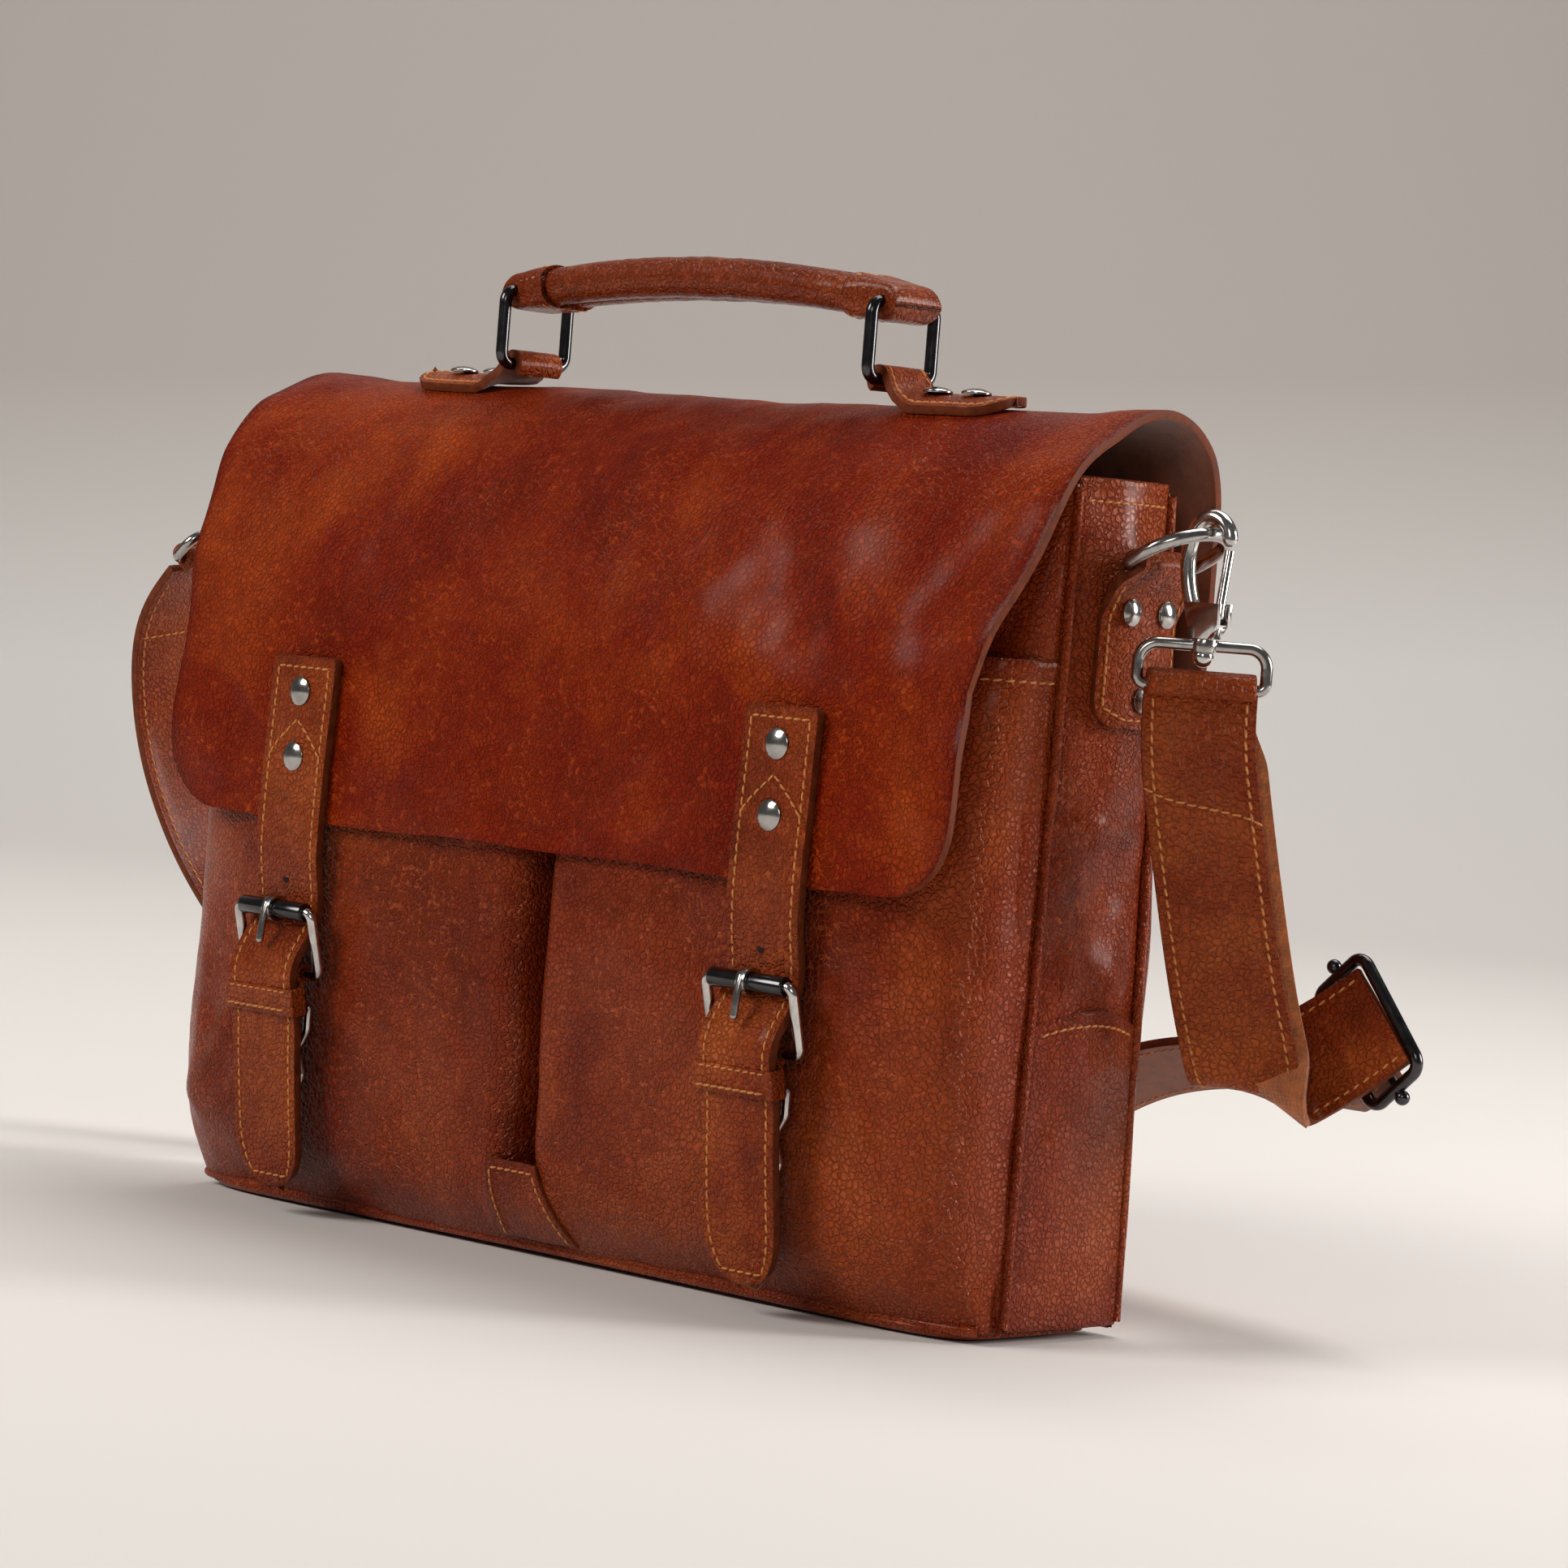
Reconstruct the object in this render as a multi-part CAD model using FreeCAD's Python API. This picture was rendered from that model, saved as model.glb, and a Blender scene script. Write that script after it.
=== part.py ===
"""Leather briefcase with a fold-over flap, two front pockets, two buckled straps, a ring-hung handle and a clip-on
shoulder strap.

Millimetres. X runs along the width, -Y is the front, +Z is up. The origin is the middle of the base, on the floor.
Soft pieces are plain closed solids of the right size and place; metal pieces have their full shape.
"""

import FreeCAD, Part
import math
import os

V = FreeCAD.Vector

# Body of the bag.
WIDTH = 400.0
HEIGHT = 290.0
DEPTH_BOTTOM = 57.0
DEPTH_TOP = 46.0
LEATHER = 3.0
CLEAR = 0.3
FIT = 0.07
SEAM_Y = DEPTH_BOTTOM / 2
PANEL_X = WIDTH / 2 - LEATHER - CLEAR
FLOOR_GAP = LEATHER + 0.2
CROWN_POWER = 5.0

# Profiles of the panels at mid width, as (y, z).
FRONT_WALL = [(-30, FLOOR_GAP), (-44, 40), (-50, 110), (-48.5, 180), (-45, 230), (-39, 262), (-27, 287)]
BACK_WALL = [(28, FLOOR_GAP), (36, 50), (40, 150), (37.5, 240), (25, 287)]
POCKET_FRONT = [(-48, FLOOR_GAP), (-62, 22), (-69, 60), (-70.3, 105), (-69, 150), (-64, 206), (-59, 228)]
FLAP_OUTER = [(44, 247), (44, 277), (37, 301), (15, 311.5), (-11, 308), (-33, 294), (-48, 275), (-59, 252),
              (-67.5, 226), (-72, 194), (-74, 146)]
GUSSET_BULGE = [(4, 1.0), (60, 2.5), (150, 6.0), (230, 8.0), (HEIGHT, 3.5)]

# Pockets, patches and flap.
POCKET_GAP = 4.0
POCKET_TOP = 228.0
PATCH_HALF = 20.0
PATCH_TOP = 36.0
GUSSET_PATCH_TOP = 107.0
FLAP_HALF = 206.0
FLAP_CORNER = 26.0
FLAP_EDGE_Z = 146.0

# Front straps and roller buckles.
STRAP_X = 122.0
STRAP_WIDTH = 34.0
STRAP_THICK = 3.5
STRAP_TOP = 206.0
STRAP_OUTER = [(-75.3, STRAP_TOP), (-77.0, 170), (-77.8, 146), (-76.9, 128), (-75.4, 113), (-79.6, 104), (-84.6, 96),
               (-86, 88), (-83.8, 79), (-81.2, 60), (-79.2, 42), (-76.4, 25), (-72.5, 10)]
RIVET_Z = [193.0, 169.0]
RIVET_R = 5.3
BAR_R = 1.9
ROLLER_R = 3.4
ROLLER_Y = -81.0
ROLLER_Z = 113.0
LOW_BAR_Y = -74.7
LOW_BAR_Z = 90.0
BUCKLE_HALF = 20.3
BUCKLE_CORNER = 3.0
KEEPER_Z = (75.0, 85.5)

# Quick-release clips under the strap tails.
CLIP_TOP = 77.5
CLIP_BOTTOM = 42.0
CLIP_WAIST = 62.0
CLIP_Y = -73.6
CLIP_WIRE = 1.6
STUD_Z = 53.0

# Handle, its rings and tabs.
RING_X = 93.0
RING_WIRE = 2.3
RING_LEG = 16.0
RING_LOW = 319.5
RING_HIGH = 346.5
HANDLE_RISE = 7.0
HANDLE_LOOP_R = 6.6
TAB_LENGTH = 56.0
TAB_THICK = 3.6
TAB_BASE = 312.6

# Side tabs, D-rings, snap hooks and strap loops.
SIDE_X = WIDTH / 2 + 8.0
D_BAR_X = SIDE_X + 5.6
D_BAR_Z = 262.0
D_WIRE = 2.3
D_HALF = 17.5
D_REACH = 25.0
D_TILT = 28.0
TAB_Y = 4.0
HOOK_WIRE = 2.6
HOOK_HALF = 9.6
HOOK_TOP = 44.0
LOOP_WIRE = 2.0
LOOP_HALF = 21.4
LOOP_RISE = 15.0
FOLD_HALF = 18.2
STUD_R = 2.4

SLIDER_HALF = 22.6
SLIDER_REACH = 13.5
SLIDER_WIRE = 2.2

# Shoulder strap: centre line and direction across the width, from the right hook round the back to the left hook.
SHOULDER_WIDTH = 38.0
SHOULDER_THICK = 3.4
RIGHT_ACROSS = V(1, 1, 0)
LEFT_ACROSS = V(-0.25, 0.97, 0)
SHOULDER_PATH = [
    ((0, 0, 0), (0.71, 0.71, 0)), ((0, 0.6, -12), (0.71, 0.71, 0)), ((0, 6.5, -36), (0.71, 0.71, 0)),
    ((0, 19, -75), (0.72, 0.69, 0)), ((0, 31, -107), (0.72, 0.69, -0.06)), ((1.5, 36.5, -123), (0.71, 0.69, -0.12)),
    ((0.9, 43.8, -132), (0.70, 0.67, -0.22)), ((1.1, 53.7, -128.5), (0.72, 0.48, -0.50)),
    ((14.8, 64, -116.5), (0.74, 0.13, -0.66)), ((33.9, 69.9, -100.7), (0.78, 0.03, -0.63)),
]
RETURN_PATH = [
    ((261.4, 81.3, 110.6), (0.64, -0.02, -0.77)), ((250, 84.5, 101.5), (0.64, 0, -0.77)),
    ((235, 91.5, 95), (0.42, 0.60, -0.66)), ((212, 101, 91), (0.22, 0.82, -0.50)), ((185, 109, 90), (0.1, 0.88, -0.45)),
    ((140, 116, 83), (0.03, 0.92, -0.38)), ((90, 124, 58), (0, 0.97, -0.2)), ((40, 131, 23), (0, 1, -0.05)),
    ((-15, 134, 3.4), (0, 1, 0)),
    ((-70, 132, 1.9), (0, 1, 0)), ((-125, 127, 5), (0.05, 1, 0)), ((-185, 112, 20), (0.2, 0.98, 0)),
    ((-238, 84, 48), (0.3, 0.95, 0.05)), ((-278, 48, 92), (0.15, 0.98, 0.15)), ((-299, 22, 142), (-0.05, 0.99, 0.1)),
    ((-303, 10, 185), (-0.1, 0.99, 0.05)), ((-295.5, 5, 216), (-0.11, 0.985, 0.1)),
    ((-278.6, 4, 235.4), (-0.114, 0.985, 0.126)),
]


def export(name, shape):
    shape.exportStep(os.path.join("parts", name + ".step"))


def half_depth(z):
    """Half the distance between the front and back seams at a height."""
    return SEAM_Y - (DEPTH_BOTTOM - DEPTH_TOP) / 2 * z / HEIGHT


def bulge_points(points, face, x):
    """A profile pulled back to the seam towards the ends of the width; face is -1 for the front, 1 for the back."""
    crown = (1 - min(abs(x) / (WIDTH / 2), 0.9999) ** CROWN_POWER) ** (1 / CROWN_POWER)
    return [(face * half_depth(z) + (y - face * half_depth(z)) * crown, z) for y, z in points]


def spline(points):
    curve = Part.BSplineCurve()
    curve.interpolate(points)
    return curve.toShape()


def band_wire(first, second):
    """Closed outline between two curves that run the same way."""
    back = list(reversed(second))
    edges = [
        spline(first),
        Part.LineSegment(first[-1], back[0]).toShape(),
        spline(back),
        Part.LineSegment(back[-1], first[0]).toShape(),
    ]
    return Part.Wire(edges)


def shifted(points, distance):
    """A (y, z) profile moved square to itself; positive distance goes to the left of its direction."""
    moved = []
    for i, (y, z) in enumerate(points):
        y0, z0 = points[max(i - 1, 0)]
        y1, z1 = points[min(i + 1, len(points) - 1)]
        length = math.hypot(y1 - y0, z1 - z0)
        moved.append((y - (z1 - z0) / length * distance, z + (y1 - y0) / length * distance))
    return moved


def at_x(points, x):
    return [V(x, y, z) for y, z in points]


def band(outer, inner, half):
    """A bent sheet of constant section, centred on the width."""
    face = Part.Face(band_wire(at_x(outer, -half), at_x(inner, -half)))
    return face.extrude(V(2 * half, 0, 0))


def crowned_panel(profile, face):
    """A panel that bulges at mid width and comes back to its seams."""
    wires = []
    for x in [-PANEL_X, -184, -160, -80, 0, 80, 160, 184, PANEL_X]:
        outer = bulge_points(profile, face, x)
        inner = [(y - face * LEATHER, z) for y, z in outer]
        wires.append(band_wire(at_x(outer, x), at_x(inner, x)))
    return Part.makeLoft(wires, True, False)


def rod(start, end, radius):
    start, end = V(*start), V(*end)
    axis = end - start
    return Part.makeCylinder(radius, axis.Length, start, axis)


def line(start, end):
    return Part.LineSegment(V(*start), V(*end)).toShape()


def arc(start, middle, end):
    return Part.Arc(V(*start), V(*middle), V(*end)).toShape()


def box(low, high):
    low, high = V(*low), V(*high)
    size = high - low
    return Part.makeBox(size.x, size.y, size.z, low)


def tube_along(path, radius):
    """Round wire along a path of straight runs and arcs that meet smoothly."""
    pieces = []
    for edge in path.OrderedEdges:
        start = edge.valueAt(edge.FirstParameter)
        direction = edge.tangentAt(edge.FirstParameter)
        disc = Part.Face(Part.Wire([Part.makeCircle(radius, start, direction)]))
        if isinstance(edge.Curve, Part.Circle):
            turn = math.degrees(edge.LastParameter - edge.FirstParameter)
            pieces.append(disc.revolve(edge.Curve.Center, edge.Curve.Axis, turn))
        else:
            pieces.append(disc.extrude(direction * edge.Length))
    return pieces[0].fuse(pieces[1:])


def bent_path(points, bend):
    """Open path through points, with an arc of radius bend at each corner."""
    edges = []
    last = points[0]
    for before, corner, after in zip(points, points[1:], points[2:]):
        back = (before - corner).normalize()
        ahead = (after - corner).normalize()
        half = back.getAngle(ahead) / 2
        start = corner + back * (bend / math.tan(half))
        end = corner + ahead * (bend / math.tan(half))
        centre = corner + (back + ahead).normalize() * (bend / math.sin(half))
        middle = centre + (corner - centre).normalize() * bend
        edges += [line(last, start), arc(start, middle, end)]
        last = end
    edges.append(line(last, points[-1]))
    return Part.Wire(edges)


def curved_wire(points, radius):
    """Round wire along one smooth curve."""
    path = spline([V(*p) for p in points])
    circle = Part.makeCircle(radius, path.valueAt(path.FirstParameter), path.tangentAt(path.FirstParameter))
    tube = Part.Wire([path]).makePipeShell([Part.Wire([circle])], True, True)
    return tube if tube.Solids else Part.makeSolid(tube.Shells[0])


def rounded_path(half_width, low, high, corner, low_corner=None):
    """Closed rounded rectangle in the XZ plane, its low side centred on the Z axis."""
    w, r = half_width, corner
    q = low_corner or corner
    mid, low_mid = (radius * (1 - math.sqrt(0.5)) for radius in (r, q))
    return Part.Wire([
        line((0, 0, low), (w - q, 0, low)),
        arc((w - q, 0, low), (w - low_mid, 0, low + low_mid), (w, 0, low + q)),
        line((w, 0, low + q), (w, 0, high - r)),
        arc((w, 0, high - r), (w - mid, 0, high - mid), (w - r, 0, high)),
        line((w - r, 0, high), (r - w, 0, high)),
        arc((r - w, 0, high), (mid - w, 0, high - mid), (-w, 0, high - r)),
        line((-w, 0, high - r), (-w, 0, low + q)),
        arc((-w, 0, low + q), (low_mid - w, 0, low + low_mid), (q - w, 0, low)),
        line((q - w, 0, low), (0, 0, low)),
    ])


def placed(shape, rows, origin):
    """A shape drawn at the origin, with its X, Y and Z axes turned to the three rows and moved to origin."""
    x, y, z = (V(*row).normalize() for row in rows)
    matrix = FreeCAD.Matrix(x.x, y.x, z.x, origin[0], x.y, y.y, z.y, origin[1], x.z, y.z, z.z, origin[2], 0, 0, 0, 1)
    return shape.transformed(matrix)


def mirrored(shape):
    return shape.mirror(V(0, 0, 0), V(1, 0, 0))


def dome(centre, normal, radius, height):
    """Rivet cap: a low dome over a short skirt."""
    centre, normal = V(*centre), V(*normal)
    skirt = height * 0.35
    rise = height - skirt
    ball_r = (radius * radius + rise * rise) / (2 * rise)
    ball = Part.makeSphere(ball_r, centre + normal * (height - ball_r))
    column = Part.makeCylinder(radius, height + 1, centre, normal)
    return ball.common(column)


# Body


def make_base():
    plate = box((-WIDTH / 2 + 1, -47, 0), (WIDTH / 2 - 1, SEAM_Y, LEATHER))
    edges = [e for e in plate.Edges if abs(e.Vertexes[0].Z - e.Vertexes[1].Z) > 1]
    return plate.makeFillet(14, edges)


def make_pocket(side):
    """Pouch in front of the front wall: a bulging front, two ends and a bottom, open at the top."""
    end = WIDTH / 2 - 1.5
    stations = [POCKET_GAP, 60, 120, 160, 184, end]
    inner_stations = [POCKET_GAP + LEATHER, 60, 120, 160, 184, end - LEATHER]
    back = [(y - 5 * CLEAR, z) for y, z in FRONT_WALL[:5]]
    outer_wires, inner_wires = [], []
    for x, inner_x in zip(stations, inner_stations):
        front_line = bulge_points(POCKET_FRONT, -1, x)
        back_line = bulge_points(back, -1, x)
        outer_wires.append(band_wire(at_x(front_line, side * x), at_x(back_line, side * x)))
        raised = [(y + LEATHER, z) for y, z in bulge_points(POCKET_FRONT, -1, inner_x)]
        raised[0] = (raised[0][0] + 5, FLOOR_GAP + LEATHER)
        raised.append((raised[-1][0] + 1, POCKET_TOP + 12))
        behind = [(y + 6, z) for y, z in back_line]
        behind[0] = (behind[0][0], FLOOR_GAP + LEATHER)
        behind[-1] = (behind[-1][0], POCKET_TOP + 12)
        inner_wires.append(band_wire(at_x(raised, side * inner_x), at_x(behind, side * inner_x)))
    outer = Part.makeLoft(outer_wires, True, False)
    trim = box((-WIDTH, -200, 0), (WIDTH, 200, POCKET_TOP))
    return outer.common(trim).cut(Part.makeLoft(inner_wires, True, False))


def make_bottom_patch():
    inner = [(y - 0.1, z) for y, z in POCKET_FRONT[:3]]
    outer = shifted(inner, 1.6)
    patch = band(outer, inner, PATCH_HALF)
    return patch.common(box((-50, -100, 6), (50, 0, PATCH_TOP)))


def gusset_band(side, start, end, inside, outside):
    """Side panel between two heights, as a sheet whose faces lie inside and outside of the bulged surface."""
    heights = [start + (end - start) * i / 4 for i in range(5)]
    wires = []
    for across in [-1, -0.5, 0, 0.5, 1]:
        crown = math.cos(across * math.pi / 2)
        faces = []
        for offset in (outside, inside):
            points = []
            for z in heights:
                x = WIDTH / 2 + bulge_at(z) * crown + offset
                points.append(V(side * x, across * half_depth(z), z))
            faces.append(points)
        wires.append(band_wire(faces[0], faces[1]))
    return Part.makeLoft(wires, True, False)


def bulge_at(z):
    """How far the side panel swells past its seams at a height."""
    for (z0, b0), (z1, b1) in zip(GUSSET_BULGE, GUSSET_BULGE[1:]):
        if z <= z1:
            share = (z - z0) / (z1 - z0)
            smooth = share * share * (3 - 2 * share)
            return b0 + (b1 - b0) * max(smooth, 0)
    return GUSSET_BULGE[-1][1]


def make_piping():
    """Four welts, one up each corner of the bag."""
    welts = []
    x = WIDTH / 2 + 3.4
    for side in (-1, 1):
        for face in (-1, 1):
            low = (side * x, face * (half_depth(0) + 1.3), 5)
            high = (side * x, face * (half_depth(HEIGHT) + 1.3), HEIGHT - 3)
            welts.append(rod(low, high, 1.8))
    return Part.makeCompound(welts)


def make_clip_stud(side):
    """Post on the pocket that a clip's eye drops over."""
    x = side * STRAP_X
    post = rod((x, -68.5, STUD_Z), (x, -72.5, STUD_Z), 1.6)
    head = rod((x, -72.5, STUD_Z), (x, -73.9, STUD_Z), 2.8)
    return post.fuse(head)


# Flap and front straps


def make_flap():
    sheet = band(FLAP_OUTER, shifted(FLAP_OUTER, LEATHER), FLAP_HALF)
    for side in (-1, 1):
        corner = box((FLAP_HALF - FLAP_CORNER, -90, FLAP_EDGE_Z - 5), (FLAP_HALF + 5, -60, FLAP_EDGE_Z + FLAP_CORNER))
        keep = Part.makeCylinder(
            FLAP_CORNER, 40, V(FLAP_HALF - FLAP_CORNER, -95, FLAP_EDGE_Z + FLAP_CORNER), V(0, 1, 0))
        waste = corner.cut(keep)
        sheet = sheet.cut(waste if side > 0 else mirrored(waste))
    return sheet


def make_front_strap(side):
    """Strap down the flap, behind the roller, over the lower bar and down to a rounded tip."""
    half = STRAP_WIDTH / 2
    strap = band(STRAP_OUTER, shifted(STRAP_OUTER, STRAP_THICK), half)
    tip = Part.makeCylinder(half, 60, V(0, -100, 10 + half), V(0, 1, 0))
    tip_zone = box((-half - 1, -100, 0), (half + 1, 0, 10 + half))
    strap = strap.cut(tip_zone.cut(tip))
    strap.translate(V(side * STRAP_X, 0, 0))
    return strap


def make_strap_rivets():
    caps = []
    for side in (-1, 1):
        for z, y in zip(RIVET_Z, (-76.25, -77.3)):
            caps.append(dome((side * STRAP_X, y, z), (0, -1, 0), RIVET_R, 2.2))
    return Part.makeCompound(caps)


def make_keeper(side):
    """Leather band round the strap tail, square to its slope."""
    gap = STRAP_THICK / 2 + 0.5
    wall = 1.3
    half = STRAP_WIDTH / 2 + 0.6
    tall = (KEEPER_Z[1] - KEEPER_Z[0]) / 2
    outer = box((-half - wall, -gap - wall, -tall), (half + wall, gap + wall, tall))
    inner = box((-half, -gap, -tall - 1), (half, gap, tall + 1))
    keeper = outer.cut(inner)
    keeper.rotate(V(0, 0, 0), V(1, 0, 0), 11.5)
    keeper.translate(V(side * STRAP_X, -82.4, (KEEPER_Z[0] + KEEPER_Z[1]) / 2))
    return keeper


def make_buckle(side):
    """Wire frame that leans out; its top bar carries the roller and the prong, its low bar a leather loop."""
    lean, rise = LOW_BAR_Y - ROLLER_Y, ROLLER_Z - LOW_BAR_Z
    frame = tube_along(rounded_path(BUCKLE_HALF, 0, math.hypot(lean, rise), BUCKLE_CORNER), BAR_R)
    frame.rotate(V(0, 0, 0), V(1, 0, 0), math.degrees(math.atan2(lean, rise)))
    frame.translate(V(side * STRAP_X, LOW_BAR_Y, LOW_BAR_Z))
    return frame


def make_roller(side):
    half = BUCKLE_HALF - BUCKLE_CORNER - 0.2
    x = side * STRAP_X
    outer = rod((x - half, ROLLER_Y, ROLLER_Z), (x + half, ROLLER_Y, ROLLER_Z), ROLLER_R)
    bore = rod((x - half - 1, ROLLER_Y, ROLLER_Z), (x + half + 1, ROLLER_Y, ROLLER_Z), BAR_R + FIT)
    return outer.cut(bore)


def make_prong(side):
    """Tongue: an eye round the roller and a shank whose tip lies on the strap below."""
    x = side * STRAP_X
    eye = rod((x - 1.9, ROLLER_Y, ROLLER_Z), (x + 1.9, ROLLER_Y, ROLLER_Z), ROLLER_R + 1.5)
    shank = curved_wire([(x, ROLLER_Y - 3.6, ROLLER_Z + 2), (x, ROLLER_Y - 4.9, ROLLER_Z - 2.5),
                         (x, ROLLER_Y - 5.6, ROLLER_Z - 7), (x, ROLLER_Y - 6.0, ROLLER_Z - 11.5)], 1.35)
    tip = Part.makeSphere(1.35, V(x, ROLLER_Y - 6.0, ROLLER_Z - 11.5))
    bore = rod((x - 4, ROLLER_Y, ROLLER_Z), (x + 4, ROLLER_Y, ROLLER_Z), ROLLER_R + FIT)
    return eye.fuse([shank, tip]).cut(bore)


def make_chape(side):
    """Leather loop from the low bar down to the clip."""
    x = side * STRAP_X
    half = 12.0
    upper = rod((x - half, LOW_BAR_Y, LOW_BAR_Z), (x + half, LOW_BAR_Y, LOW_BAR_Z), BAR_R + 1.9)
    lower = rod((x - half, CLIP_Y, CLIP_TOP), (x + half, CLIP_Y, CLIP_TOP), CLIP_WIRE + 1.9)
    web = box((x - half, LOW_BAR_Y - 1.3, CLIP_TOP), (x + half, LOW_BAR_Y + 1.3, LOW_BAR_Z))
    chape = upper.fuse([lower, web])
    chape = chape.cut(rod((x - 20, LOW_BAR_Y, LOW_BAR_Z), (x + 20, LOW_BAR_Y, LOW_BAR_Z), BAR_R + 0.1))
    return chape.cut(rod((x - 20, CLIP_Y, CLIP_TOP), (x + 20, CLIP_Y, CLIP_TOP), CLIP_WIRE + FIT))


def make_clip(side):
    """Hourglass wire frame: a bar in the leather loop above, a waist, and an open eye below."""
    x = side * STRAP_X
    shoulder = 14.4
    bar = rod((x - shoulder, CLIP_Y, CLIP_TOP), (x + shoulder, CLIP_Y, CLIP_TOP), CLIP_WIRE)
    half = [(shoulder, CLIP_TOP), (shoulder, CLIP_TOP - 8), (9.6, CLIP_WAIST), (13.4, CLIP_WAIST - 9),
            (8.6, CLIP_BOTTOM + CLIP_WIRE)]
    outline = [V(x + w, CLIP_Y, z) for w, z in half] + [V(x - w, CLIP_Y, z) for w, z in reversed(half)]
    frame = tube_along(bent_path(outline, 3.2), CLIP_WIRE)
    corners = [Part.makeSphere(CLIP_WIRE, V(x + sign * shoulder, CLIP_Y, CLIP_TOP)) for sign in (-1, 1)]
    waist = rod((x - 9.6, CLIP_Y, CLIP_WAIST), (x + 9.6, CLIP_Y, CLIP_WAIST), 1.4)
    return bar.fuse([frame, waist] + corners)


def make_clip_lever(side):
    """Sprung release lever above the clip's waist."""
    x = side * STRAP_X
    eye = rod((x - 2.4, CLIP_Y, CLIP_WAIST), (x + 2.4, CLIP_Y, CLIP_WAIST), 2.4)
    blade = box((x - 2.4, CLIP_Y - 1.1, CLIP_WAIST), (x + 2.4, CLIP_Y + 1.1, CLIP_WAIST + 10))
    bore = rod((x - 5, CLIP_Y, CLIP_WAIST), (x + 5, CLIP_Y, CLIP_WAIST), 1.4 + FIT)
    return eye.fuse(blade).cut(bore)


# Handle


def make_handle_ring(side):
    x = side * RING_X
    ring = tube_along(rounded_path(RING_LEG, RING_LOW, RING_HIGH, 4.5), RING_WIRE)
    ring.rotate(V(0, 0, 0), V(0, 0, 1), 90)
    ring.translate(V(x, 0, 0))
    return ring


def make_handle_tab(side):
    """Tongue stitched to the flap, folded round the ring's low bar."""
    half = 13.0
    outline = box((0, -half, TAB_BASE), (TAB_LENGTH - half, half, TAB_BASE + TAB_THICK))
    tongue = Part.makeCylinder(half, TAB_THICK, V(TAB_LENGTH - half, 0, TAB_BASE))
    roll_half = RING_LEG - RING_WIRE - 3.2
    roll = rod((0, -roll_half, RING_LOW), (0, roll_half, RING_LOW), RING_WIRE + 3.0)
    tab = outline.common(box((0, -roll_half, 0), (14, roll_half, 400)))
    tab = tab.fuse([outline.common(box((9, -50, 0), (100, 50, 400))), tongue, roll])
    tab = tab.common(box((-20, -50, TAB_BASE), (100, 50, 400)))
    tab = tab.cut(rod((0, -40, RING_LOW), (0, 40, RING_LOW), RING_WIRE + 0.1))
    tab.translate(V(RING_X, 0, 0))
    return tab if side > 0 else mirrored(tab)


def make_tab_rivets():
    caps = []
    for side in (-1, 1):
        for offset in (19.0, 37.0):
            caps.append(dome((side * (RING_X + offset), 0, TAB_BASE + TAB_THICK), (0, 0, 1), RIVET_R, 2.2))
    return Part.makeCompound(caps)


def make_handle():
    """Arched padded grip with an eye round each ring's high bar."""
    half = RING_LEG - RING_WIRE - 2.0
    wires = []
    for i in range(9):
        share = i / 4 - 1
        x = share * (RING_X - 2)
        rise = HANDLE_RISE * (1 - share * share)
        wide = half + 2.5 * (1 - share ** 4)
        tall = 6.4 + 0.8 * (1 - share * share)
        ellipse = Part.Ellipse(V(0, 0, 0), wide, tall)
        wire = Part.Wire([ellipse.toShape()])
        wire.rotate(V(0, 0, 0), V(1, 0, 0), 90)
        wire.rotate(V(0, 0, 0), V(0, 0, 1), 90)
        wire.translate(V(x, 0, RING_HIGH + rise))
        wires.append(wire)
    grip = Part.makeLoft(wires, True, False)
    for side in (-1, 1):
        x = side * RING_X
        grip = grip.fuse(rod((x, -half, RING_HIGH), (x, half, RING_HIGH), HANDLE_LOOP_R))
    for side in (-1, 1):
        x = side * RING_X
        grip = grip.cut(rod((x, -40, RING_HIGH), (x, 40, RING_HIGH), RING_WIRE + 0.1))
    return grip


# Sides and shoulder strap


def make_side_tab(side):
    """Tab riveted to the side panel, folded round the D-ring's bar."""
    half = 19.5
    plate = box((0, -half, 207), (LEATHER, half, 254))
    plate = plate.makeFillet(9, [e for e in plate.Edges if abs(e.Vertexes[0].X - e.Vertexes[1].X) > 1
                                 and e.Vertexes[0].Z < 210])
    roll_half = D_HALF - D_WIRE - 2.5
    roll = rod((5.6, -roll_half, D_BAR_Z), (5.6, roll_half, D_BAR_Z), D_WIRE + 2.9)
    neck = box((0.2, -roll_half, 252), (5, roll_half, D_BAR_Z))
    tab = plate.fuse([roll, neck])
    tab = tab.cut(rod((5.6, -60, D_BAR_Z), (5.6, 60, D_BAR_Z), D_WIRE + 0.1))
    tab.translate(V(SIDE_X + 0.4, TAB_Y, 0))
    return tab if side > 0 else mirrored(tab)


def make_side_rivets():
    caps = []
    for side in (-1, 1):
        for y, z in ((-9.0, 246.0), (9.0, 246.0), (0.0, 217.0)):
            centre = (side * (SIDE_X + 0.4 + LEATHER), TAB_Y + y, z)
            caps.append(dome(centre, (side, 0, 0), 4.6, 2.0))
    return Part.makeCompound(caps)


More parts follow.
